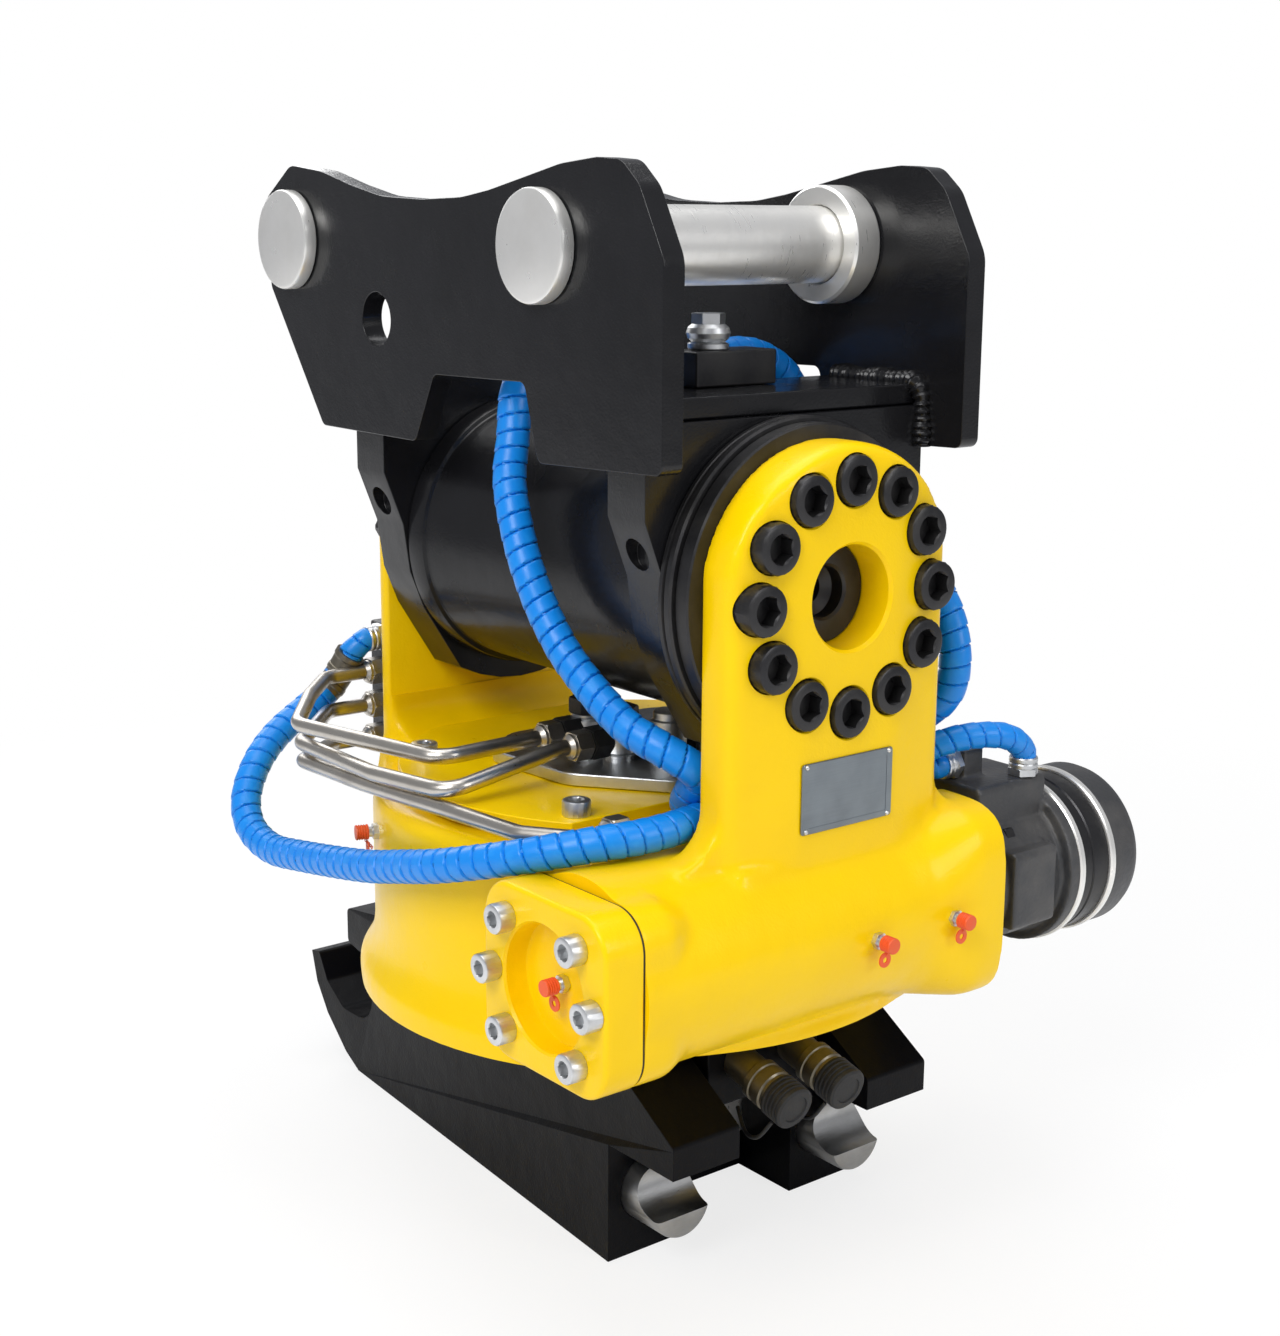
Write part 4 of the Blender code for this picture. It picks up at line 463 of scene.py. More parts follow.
FINISHES: dict[Surface, Union[Enamel, BareMetal, Polymer]] = {
    Surface.YELLOW: Enamel("cast_yellow", (0.96, 0.625, 0.0), (0.88, 0.55, 0.0), 0.32, 0.14,
                           55.0, 0.0007, 0.16),
    Surface.BLACK: Enamel("satin_black", (0.007, 0.007, 0.008), (0.013, 0.013, 0.015), 0.24, 0.14,
                          48.0, 0.0006, 0.28),
    Surface.COUPLER: Enamel("coupler_black", (0.003, 0.003, 0.004), (0.007, 0.007, 0.008), 0.32,
                            0.02, 48.0, 0.0006, 0.08),
    Surface.STEEL: BareMetal("bright_steel", (0.90, 0.89, 0.86), (0.74, 0.73, 0.70), 0.30,
                             (0.5, 4.0, 0.5), 160.0, 0.00003, 0.72),
    Surface.LOCK: BareMetal("lock_steel", (0.46, 0.46, 0.46), (0.28, 0.28, 0.27), 0.32,
                            (0.4, 1.0, 5.0), 220.0, 0.00005),
    Surface.ZINC: BareMetal("zinc_plate", (0.70, 0.71, 0.72), (0.50, 0.51, 0.52), 0.34,
                            (1.0, 1.0, 1.0), 500.0, 0.00004),
    Surface.STAINLESS: BareMetal("stainless_pipe", (0.60, 0.57, 0.52), (0.40, 0.37, 0.33), 0.30,
                                 (0.3, 1.0, 3.0), 300.0, 0.00003),
    Surface.PLATE: BareMetal("bare_plate", (0.25, 0.28, 0.30), (0.19, 0.21, 0.23), 0.40,
                             (1.0, 0.12, 5.0), 420.0, 0.00003),
    Surface.BRONZE: BareMetal("bronze", (0.66, 0.42, 0.18), (0.45, 0.27, 0.11), 0.34,
                              (1.0, 1.0, 4.0), 220.0, 0.00005),
    Surface.OXIDE: BareMetal("black_oxide", (0.030, 0.030, 0.033), (0.060, 0.058, 0.056), 0.34,
                             (1.0, 1.0, 1.0), 420.0, 0.00005, 0.75),
    Surface.BLUE: Polymer("blue_guard", (0.004, 0.235, 0.76), (0.02, 0.30, 0.80), 0.34, 900.0,
                          0.00004),
    Surface.RUBBER: Polymer("rubber", (0.014, 0.014, 0.015), (0.035, 0.034, 0.032), 0.55, 700.0,
                            0.00008),
    Surface.CASTING: BareMetal("motor_casting", (0.050, 0.052, 0.057), (0.12, 0.115, 0.11), 0.44,
                               (1.0, 1.0, 1.0), 330.0, 0.00035, 0.45),
    Surface.SLEEVE: BareMetal("coupling_sleeve", (0.26, 0.23, 0.17), (0.13, 0.12, 0.10), 0.38,
                              (1.0, 1.0, 1.0), 380.0, 0.00006, 0.9),
    Surface.ORANGE: Polymer("orange_cap", (0.80, 0.10, 0.02), (0.62, 0.16, 0.07), 0.42, 800.0,
                            0.00003),
}


def new_item(name: str, shape: bmesh.types.BMesh) -> Item:
    """Turn a bmesh into a linked object with outward faces.

    Args:
        name: The object's name.
        shape: The mesh, which is freed.

    Returns:
        The object.
    """
    bmesh.ops.recalc_face_normals(shape, faces=shape.faces)
    mesh = bpy.data.meshes.new(name)
    shape.to_mesh(mesh)
    shape.free()
    item = bpy.data.objects.new(name, mesh)
    bpy.context.scene.collection.objects.link(item)
    return item


def on_circle(radius: float, degrees: float) -> Flat:
    """Return the point on a circle at an angle."""
    return radius * math.cos(math.radians(degrees)), radius * math.sin(math.radians(degrees))


def hexagon(width: float) -> list[Flat]:
    """Return a hexagon's outline by its width across flats."""
    return [on_circle(width / math.sqrt(3), 60 * k) for k in range(6)]


def rounded(corners: Sequence[tuple[float, ...]], step: float = 10.0) -> list[Flat]:
    """Close an outline, with an arc at each corner that has a radius.

    Args:
        corners: Corners as (u, v) or (u, v, radius).
        step: Largest step along an arc, in degrees.

    Returns:
        The outline's points.
    """
    points: list[Flat] = []
    for index, corner in enumerate(corners):
        here = Vector(corner[:2])
        radius = corner[2] if len(corner) > 2 else 0.0
        if radius <= 0.0:
            points.append((here.x, here.y))
            continue
        before = (Vector(corners[index - 1][:2]) - here).normalized()
        after = (Vector(corners[(index + 1) % len(corners)][:2]) - here).normalized()
        half = before.angle(after) / 2
        centre = here + (before + after).normalized() * radius / math.sin(half)
        start = here + before * radius / math.tan(half) - centre
        end = here + after * radius / math.tan(half) - centre
        sweep = math.atan2(start.x * end.y - start.y * end.x, start.dot(end))
        steps = max(2, math.ceil(abs(math.degrees(sweep)) / step - 0.01))
        first = math.degrees(math.atan2(start.y, start.x))
        for k in range(steps + 1):
            u, v = on_circle(radius, first + math.degrees(sweep) * k / steps)
            points.append((centre.x + u, centre.y + v))
    return points


def box_outline(half_u: float, half_v: float, radius: float, step: float = 10.0) -> list[Flat]:
    """Draw a rectangle with round corners about the origin.

    Args:
        half_u: Half of its width.
        half_v: Half of its height.
        radius: Radius of its corners.
        step: Largest step along an arc, in degrees.

    Returns:
        The outline's points.
    """
    return rounded([(-half_u, -half_v, radius), (half_u, -half_v, radius),
                    (half_u, half_v, radius), (-half_u, half_v, radius)], step)


def prism(name: str, outline: Sequence[Flat], axis: Axis, low: float, high: float,
          centre: Flat = (0.0, 0.0)) -> Item:
    """Extrude an outline along an axis.

    Args:
        name: The object's name.
        outline: Points across the axis.
        axis: Axis of the extrusion.
        low: Where it starts.
        high: Where it ends.
        centre: Added to every point of the outline.

    Returns:
        The object.
    """
    moved = [(u + centre[0], v + centre[1]) for u, v in outline]
    return loft(name, [(low, moved), (high, moved)], axis)


def loft(name: str, sections: Sequence[tuple[float, Sequence[Flat]]], axis: Axis) -> Item:
    """Skin outlines along an axis and close both ends.

    Args:
        name: The object's name.
        sections: Pairs of a place along the axis and an outline.
        axis: Axis that the sections follow.

    Returns:
        The object.
    """
    shape = bmesh.new()
    rings = [[shape.verts.new(axis.place(u, v, along)) for u, v in outline]
             for along, outline in sections]
    shape.faces.new(rings[0])
    shape.faces.new(rings[-1])
    for low, high in zip(rings, rings[1:]):
        for k in range(len(low)):
            after = (k + 1) % len(low)
            shape.faces.new((low[k], low[after], high[after], high[k]))
    return new_item(name, shape)


def block(name: str, low: Point, high: Point) -> Item:
    """Return a block between two corners, for a cut or a pad of a casting."""
    outline = [(low[0], low[1]), (high[0], low[1]), (high[0], high[1]), (low[0], high[1])]
    return prism(name, outline, Axis.Z, low[2], high[2])


def turned(name: str, profile: Sequence[Flat], axis: Axis, centre: Point = (0.0, 0.0, 0.0),
           sides: int = 72, aim: Union[Matrix, None] = None) -> Item:
    """Turn a profile about an axis.

    Args:
        name: The object's name.
        profile: Points (radius, along); it is closed into a ring unless both ends have radius 0.
        axis: Axis of the turn.
        centre: Point that the axis goes through, and from which distances count.
        sides: Steps round the axis.
        aim: A turn that replaces the axis, where given.

    Returns:
        The object.
    """
    shape = bmesh.new()
    frame = Matrix.Translation(centre) @ (aim if aim is not None else axis.turn())
    solid = profile[0][0] == 0.0 and profile[-1][0] == 0.0
    rings = []
    for radius, along in profile:
        count = 1 if radius == 0.0 else sides
        rings.append([shape.verts.new(frame @ Vector((*on_circle(radius, 360 * k / sides), along)))
                      for k in range(count)])
    pairs = list(zip(rings, rings[1:]))
    if not solid:
        pairs.append((rings[-1], rings[0]))
    for low, high in pairs:
        for k in range(sides):
            after = (k + 1) % sides
            corners = list(dict.fromkeys((low[k % len(low)], low[after % len(low)],
                                          high[after % len(high)], high[k % len(high)])))
            if len(corners) > 2:
                shape.faces.new(corners)
    return new_item(name, shape)


def rod(name: str, radius: float, low: float, high: float, axis: Axis,
        centre: Point = (0.0, 0.0, 0.0), sides: int = 48) -> Item:
    """Return a round cutter or core from low to high along an axis."""
    return turned(name, [(0.0, low), (radius, low), (radius, high), (0.0, high)], axis, centre,
                  sides)


def gathered(name: str, items: Sequence[Item]) -> Item:
    """Put several meshes into one object and remove the objects they came from.

    Args:
        name: The new object's name.
        items: The objects.

    Returns:
        The new object.
    """
    shape = bmesh.new()
    for item in items:
        shape.from_mesh(item.data)
    mesh = bpy.data.meshes.new(name)
    shape.to_mesh(mesh)
    shape.free()
    for item in items:
        bpy.data.objects.remove(item, do_unlink=True)
    made = bpy.data.objects.new(name, mesh)
    bpy.context.scene.collection.objects.link(made)
    return made


def applied(item: Item) -> Item:
    """Make an object's evaluated mesh its own mesh, and drop its modifiers.

    Args:
        item: The object.

    Returns:
        The same object.
    """
    bpy.context.view_layer.update()
    graph = bpy.context.evaluated_depsgraph_get()
    mesh = bpy.data.meshes.new_from_object(item.evaluated_get(graph))
    item.modifiers.clear()
    item.data = mesh
    return item


def combined(target: Item, what: Cut, *tools: Item, solver: str = "MANIFOLD") -> Item:
    """Join, cut or intersect the target with each tool, and drop the tools.

    Args:
        target: The object that is changed.
        what: What is done.
        *tools: Closed tools.
        solver: Blender's Boolean solver.

    Returns:
        The target.
    """
    for tool in tools:
        step = target.modifiers.new("step", "BOOLEAN")
        step.object = tool
        step.operation = what.value
        step.solver = solver
    applied(target)
    for tool in tools:
        bpy.data.objects.remove(tool, do_unlink=True)
    return target


def shaded(item: Item, degrees: float = SHARP) -> Item:
    """Shade an object smooth, except across sharp edges.

    Args:
        item: The object.
        degrees: Edges sharper than this stay sharp.

    Returns:
        The same object.
    """
    item.data.shade_smooth()
    item.data.set_sharp_from_angle(angle=math.radians(degrees))
    return item


def bevelled(item: Item, width: float, segments: int = 2, degrees: float = 30.0) -> Item:
    """Round an object's sharp edges.

    Args:
        item: The object.
        width: Width of the rounding.
        segments: Steps across it.
        degrees: Edges sharper than this are rounded.

    Returns:
        The object, shaded smooth.
    """
    step = item.modifiers.new("edges", "BEVEL")
    step.width = width
    step.segments = segments
    step.limit_method = "ANGLE"
    step.angle_limit = math.radians(degrees)
    step.use_clamp_overlap = True
    item.data.shade_smooth()
    even = item.modifiers.new("normals", "WEIGHTED_NORMAL")
    even.weight = 100
    return applied(item)


def cast(item: Item, voxel: float, rounds: int) -> Item:
    """Fuse overlapping solids into one skin with soft fillets, as a casting has.

    Args:
        item: Overlapping closed solids in one object.
        voxel: Size of the new mesh.
        rounds: Rounds of smoothing.

    Returns:
        The object.
    """
    skin = item.modifiers.new("skin", "REMESH")
    skin.mode = "VOXEL"
    skin.voxel_size = voxel
    soft = item.modifiers.new("soft", "SMOOTH")
    soft.factor = 0.5
    soft.iterations = rounds
    return applied(item)


def from_cad(name: str, node: Item) -> Item:
    """Copy a CAD node's mesh, welded and with its flat faces whole, to be refined.

    Args:
        name: The new object's name.
        node: The CAD node.

    Returns:
        The new object.
    """
    shape = bmesh.new()
    shape.from_mesh(node.data)
    bmesh.ops.remove_doubles(shape, verts=shape.verts, dist=1e-6)
    bmesh.ops.dissolve_limit(shape, angle_limit=math.radians(0.1), verts=shape.verts,
                             edges=shape.edges)
    return new_item(name, shape)


def smooth_route(points: Sequence[Point], spacing: float) -> list[Vector]:
    """Run a smooth curve through points and read it at even steps.

    Args:
        points: Points that the curve passes.
        spacing: Distance between the points returned.

    Returns:
        Points along the curve.
    """
    knots = [Vector(point) for point in points]
    padded = [knots[0] * 2 - knots[1]] + knots + [knots[-1] * 2 - knots[-2]]
    fine = []
    for a, b, c, d in zip(padded, padded[1:], padded[2:], padded[3:]):
        for k in range(24):
            t = k / 24
            fine.append(0.5 * (2 * b + (c - a) * t + (2 * a - 5 * b + 4 * c - d) * t * t
                               + (3 * b - a - 3 * c + d) * t ** 3))
    fine.append(knots[-1])
    for _ in range(20):
        fine = [fine[0]] + [(a + b * 2 + c) / 4 for a, b, c in zip(fine, fine[1:], fine[2:])] \
            + [fine[-1]]
    lengths = [0.0]
    for before, after in zip(fine, fine[1:]):
        lengths.append(lengths[-1] + (after - before).length)
    count = max(2, round(lengths[-1] / spacing))
    route = []
    index = 0
    for step in range(count + 1):
        goal = lengths[-1] * step / count
        while index < len(fine) - 2 and lengths[index + 1] < goal:
            index += 1
        span = lengths[index + 1] - lengths[index]
        route.append(fine[index].lerp(fine[index + 1], (goal - lengths[index]) / span))
    return route


def bent_route(points: Sequence[Point], radius: float) -> list[Vector]:
    """Return a bent pipe's route: straight runs with an arc at each corner.

    Args:
        points: The pipe's ends and corners.
        radius: Bend radius.

    Returns:
        Points along the route.
    """
    route = [Vector(points[0])]
    for before, corner, after in zip(points, points[1:], points[2:]):
        middle = Vector(corner)
        back = (Vector(before) - middle).normalized()
        ahead = (Vector(after) - middle).normalized()
        half = back.angle(ahead) / 2
        reach = radius / math.tan(half)
        centre = middle + (back + ahead).normalized() * radius / math.sin(half)
        start = middle + back * reach - centre
        end = middle + ahead * reach - centre
        turn = start.angle(end)
        steps = max(3, math.ceil(math.degrees(turn) / 7))
        for k in range(steps + 1):
            part = start * math.sin((1 - k / steps) * turn) + end * math.sin(k / steps * turn)
            route.append(centre + part / math.sin(turn))
    route.append(Vector(points[-1]))
    return route


def swept(name: str, route: Sequence[Vector], radius_at: Callable[[float, float], float],
          sides: int) -> Item:
    """Sweep a round section along a route, with closed ends.

    Args:
        name: The object's name.
        route: Points of the centre line.
        radius_at: Radius at a distance along the route and a share of a turn round it.
        sides: Steps round the section.

    Returns:
        The object.
    """
    shape = bmesh.new()
    heading = (route[1] - route[0]).normalized()
    across = heading.orthogonal().normalized()
    rings = []
    gone = 0.0
    for index, point in enumerate(route):
        ahead = route[min(index + 1, len(route) - 1)] - route[max(index - 1, 0)]
        turn = heading.rotation_difference(ahead.normalized())
        heading = ahead.normalized()
        across = (turn @ across).normalized()
        side = heading.cross(across)
        if index:
            gone += (point - route[index - 1]).length
        ring = []
        for k in range(sides):
            radius = radius_at(gone, k / sides)
            u, v = on_circle(radius, 360 * k / sides)
            ring.append(shape.verts.new(point + across * u + side * v))
        rings.append(ring)
    shape.faces.new(rings[0])
    shape.faces.new(rings[-1])
    for low, high in zip(rings, rings[1:]):
        for k in range(sides):
            after = (k + 1) % sides
            shape.faces.new((low[k], low[after], high[after], high[k]))
    return new_item(name, shape)


def facing(place: Point, direction: Point) -> Matrix:
    """Return the matrix that puts +Z at a place, along a direction."""
    aim = Vector(direction).to_track_quat("Z", "Y")
    return Matrix.Translation(place) @ aim.to_matrix().to_4x4()


def round_places(axis: Axis, along: float, middle: Flat, radius: float,
                 angles: Iterable[float], out: float = 1.0) -> list[Matrix]:
    """Place copies round a circle, so that they point along its axis.

    Args:
        axis: Axis of the circle.
        along: Where the circle is along the axis.
        middle: The circle's centre across the axis.
        radius: The circle's radius.
        angles: Angle of each copy, in degrees.
        out: 1 to point along the axis and -1 to point against it.

    Returns:
        Matrix of each copy.
    """
    heading = tuple(axis.place(0.0, 0.0, out))
    return [facing(tuple(axis.place(middle[0] + u, middle[1] + v, along)), heading)
            for u, v in (on_circle(radius, angle) for angle in angles)]


def socket_bolt(name: str, radius: float, height: float, socket: float, shank: float,
                length: float) -> Item:
    """Make a socket head bolt that stands on Z = 0 with its head up.

    Args:
        name: The object's name.
        radius: Radius of the head.
        height: Height of the head.
        socket: Width of the hexagon socket.
        shank: Radius of the shank.
        length: Length of the shank below Z = 0.

    Returns:
        The bolt.
    """
    edge = radius * 0.12
    bolt = turned(name, [
        (0.0, -length), (shank, -length), (shank, 0.0), (radius - edge * 0.4, 0.0),
        (radius, edge * 0.4), (radius, height - edge), (radius - edge * 0.4, height - edge * 0.3),
        (radius - edge, height), (0.0, height)], Axis.Z, sides=36)
    bite = radius * 0.035
    for corner in bolt.data.vertices:
        flank = math.hypot(corner.co.x, corner.co.y)
        if flank > radius * 0.99 and corner.index % 2:
            corner.co.x *= 1 - bite / flank
            corner.co.y *= 1 - bite / flank
    pocket = prism("pocket", hexagon(socket), Axis.Z, height * 0.42, height + 0.01)
    mouth = turned("mouth", [(0.0, height - 0.0012), (socket * 0.5, height - 0.0012),
                             (socket * 0.62, height + 0.001), (0.0, height + 0.001)], Axis.Z,
                   sides=36)
    return shaded(combined(bolt, Cut.CUT, pocket, mouth, solver="EXACT"))


def hex_nut(name: str, width: float, length: float, bore: float = 0.0) -> Item:
    """Make a chamfered hexagon that stands on Z = 0, with a small collar on top.

    Args:
        name: The object's name.
        width: Width across flats.
        length: Length along Z.
        bore: Radius of the hole through it, or 0.

    Returns:
        The nut.
    """
    nut = prism(name, hexagon(width), Axis.Z, 0.0, length)
    corner = width / math.sqrt(3)
    limit = turned("limit", [
        (0.0, -0.001), (corner * 0.90, -0.001), (corner * 1.02, length * 0.14),
        (corner * 1.02, length * 0.86), (corner * 0.90, length + 0.001), (0.0, length + 0.001)],
        Axis.Z, sides=48)
    combined(nut, Cut.KEEP, limit, solver="EXACT")
    if bore:
        combined(nut, Cut.CUT, rod("bore", bore, -0.01, length + 0.01, Axis.Z), solver="EXACT")
    return shaded(nut, 20.0)


def copies(name: str, pattern: Item, places: Iterable[Matrix]) -> Item:
    """Repeat a pattern at many places in one object, and remove the pattern.

    Args:
        name: The object's name.
        pattern: The piece that is repeated.
        places: Matrix of each copy.

    Returns:
        The object that holds the copies.
    """
    made = []
    for place in places:
        item = pattern.copy()
        item.data = pattern.data.copy()
        item.data.transform(place)
        bpy.context.scene.collection.objects.link(item)
        made.append(item)
    bpy.data.objects.remove(pattern, do_unlink=True)
    return shaded(gathered(name, made))


class Shop:
    """Hands every piece to its body, its finish and the CAD node that it stands for."""

    def __init__(self, frame: dict[str, Any]) -> None:
        """Make the finishes and keep the frame.
        """
        self.nodes: dict[str, Item] = frame["nodes"]
        self.materials = {surface: finish.build() for surface, finish in FINISHES.items()}
        self.dressed: set[str] = set()

    def coat(self, item: Item, surface: Surface) -> None:
        """Give a piece one finish.

        Args:
            item: The piece.
            surface: Its finish.
        """
        item.data.materials.clear()
        item.data.materials.append(self.materials[surface])

    def hand_over(self, item: Item, body: Body, surface: Surface, *nodes: str) -> Item:
        """Finish a piece and let it ride on its body.

        Args:
            item: The piece, in place.
            body: The body that carries it.
            surface: Its finish.
            *nodes: CAD nodes that it stands for.

        Returns:
            The piece.
        """
        self.coat(item, surface)
        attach(item, body.value)
        if nodes:
            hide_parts(*nodes)
            self.dressed.update(nodes)
        LOG.info("%s rides on %s", item.name, body.value)
        return item

    def bend_between(self, item: Item, surface: Surface, start: Point, end: Point,
                     node: str) -> Item:
        """Finish a hose that crosses the tilt joint and leave it fixed in the frame, on no body.

        Args:
            item: The hose.
            surface: Its finish.
            start: Not used.
            end: Not used.
            node: CAD node that it stands for.

        Returns:
            The hose.
        """
        self.coat(item, surface)
        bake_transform(item)
        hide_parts(node)
        self.dressed.add(node)
        LOG.info("%s bends between hitch and housing", item.name)
        return item

    def refine(self, node: str, body: Body, surface: Surface, width: float = 0.0012) -> Item:
        """Stand a copy of a CAD node with rounded edges in its place.

        Args:
            node: The CAD node.
            body: The body that carries it.
            surface: Its finish.
            width: Width of its rounded edges.

        Returns:
            The new piece.
        """
        item = bevelled(from_cad(node + "_skin", self.nodes[node]), width)
        return self.hand_over(item, body, surface, node)

    def finish_rest(self, choice: dict[str, Surface]) -> None:
        """Give the CAD nodes that still show their finishes.

        Args:
            choice: Finish of each node that isn't replaced.
        """
        for name, node in self.nodes.items():
            if name in self.dressed:
                continue
            node.data.materials.clear()
            node.data.materials.append(self.materials[choice[name]])
            LOG.info("%s keeps its CAD shape", name)


@dataclass
class Studio:
    """Camera, lamps, pale floor and world."""

    eye: Point = (0.95136, -0.76095, 0.59917)
    heading: float = 51.36
    pitch: float = 77.37
    roll: float = 0.357
    lens: float = 54.40
    sensor: float = 36.0
    floor_size: float = 12.0
    lamps: dict[str, tuple[Point, float, float]] = field(default_factory=lambda: {
        "key": ((0.9, -2.2, 2.2), 1.4, 52.0),
        "side": ((2.7, 0.7, 1.5), 1.2, 20.0),
        "top": ((-0.2, 0.1, 2.9), 2.2, 46.0),
        "back": ((-2.2, 0.4, 1.5), 1.4, 20.0),
    })
    aim: Point = (0.0, 0.0, 0.32)
    backdrop: Colour = (1.0, 1.0, 1.0)
    room: Colour = (0.92, 0.94, 1.0)
    room_strength: float = 0.36
    glow: float = 0.78
    fade: Flat = (0.4, 1.3)

    def build(self) -> None:
        """Make the camera, the lamps, the floor and the world."""
        self.add_camera()
        for name, (place, size, power) in self.lamps.items():
            lamp = bpy.data.lights.new(name, "AREA")
            lamp.size = size
            lamp.energy = power
            item = bpy.data.objects.new(name, lamp)
            direction = Vector(self.aim) - Vector(place)
            item.matrix_world = Matrix.Translation(place) @ direction.to_track_quat(
                "-Z", "Y").to_matrix().to_4x4()
            bpy.context.scene.collection.objects.link(item)
        self.add_floor()
        self.add_world()
        bpy.context.scene.view_settings.view_transform = "Standard"
        LOG.info("studio is up")

    def add_camera(self) -> None:
        """Stand the camera at the photograph's place."""
        lens = bpy.data.cameras.new("camera")
        lens.lens = self.lens
        lens.sensor_width = self.sensor
        camera = bpy.data.objects.new("camera", lens)
        turn = Matrix.Identity(4)
        for angle, axis in ((self.heading, "Z"), (self.pitch, "X"), (self.roll, "Z")):
            turn = turn @ Matrix.Rotation(math.radians(angle), 4, axis)
        camera.matrix_world = Matrix.Translation(self.eye) @ turn
        bpy.context.scene.collection.objects.link(camera)
        bpy.context.scene.camera = camera

    def add_floor(self) -> None:
        """Lay a pale floor that looks near white to the camera and keeps a soft shadow."""
        shape = bmesh.new()
        half = self.floor_size / 2
        ring = [shape.verts.new((x, y, -0.0004)) for x, y in
                ((-half, -half), (half, -half), (half, half), (-half, half))]
        shape.faces.new(ring)
        floor = new_item("floor", shape)
        shader = Shader("floor", 0.0)
        grain = shader.noise(shader.place(), 40.0)
        shader.dress((0.86, 0.86, 0.86), 0.7, grain, 0.0001)
        glow = shader.node("ShaderNodeEmission", {}, {"Color": self.backdrop, "Strength": 1.0})
        path = shader.node("ShaderNodeLightPath", {}, {})
        far = shader.node("ShaderNodeVectorMath", {"operation": "LENGTH"}, {0: shader.place()}, 1)
        fade = shader.between(far, *self.fade)
        mixed = shader.node("ShaderNodeMixShader", {}, {
            0: path * (self.glow + fade * (1.0 - self.glow)),
            1: Signal(shader, shader.surface.outputs[0]), 2: glow})
        shader.set_input(shader.tree.nodes["Material Output"].inputs["Surface"], mixed)
        floor.data.materials.append(shader.material)

    def add_world(self) -> None:
        """Light the room softly, with a white backdrop for the camera."""
        world = bpy.data.worlds.new("room")
        bpy.context.scene.world = world
        world.use_nodes = True
        nodes = Nodes(world.node_tree)
        room = nodes.node("ShaderNodeBackground", {}, {"Color": self.room,
                                                       "Strength": self.room_strength})
        backdrop = nodes.node("ShaderNodeBackground", {}, {"Color": self.backdrop,
                                                           "Strength": 1.0})
        path = nodes.node("ShaderNodeLightPath", {}, {})
        mixed = nodes.node("ShaderNodeMixShader", {}, {0: path, 1: room, 2: backdrop})
        nodes.set_input(world.node_tree.nodes["World Output"].inputs["Surface"], mixed)


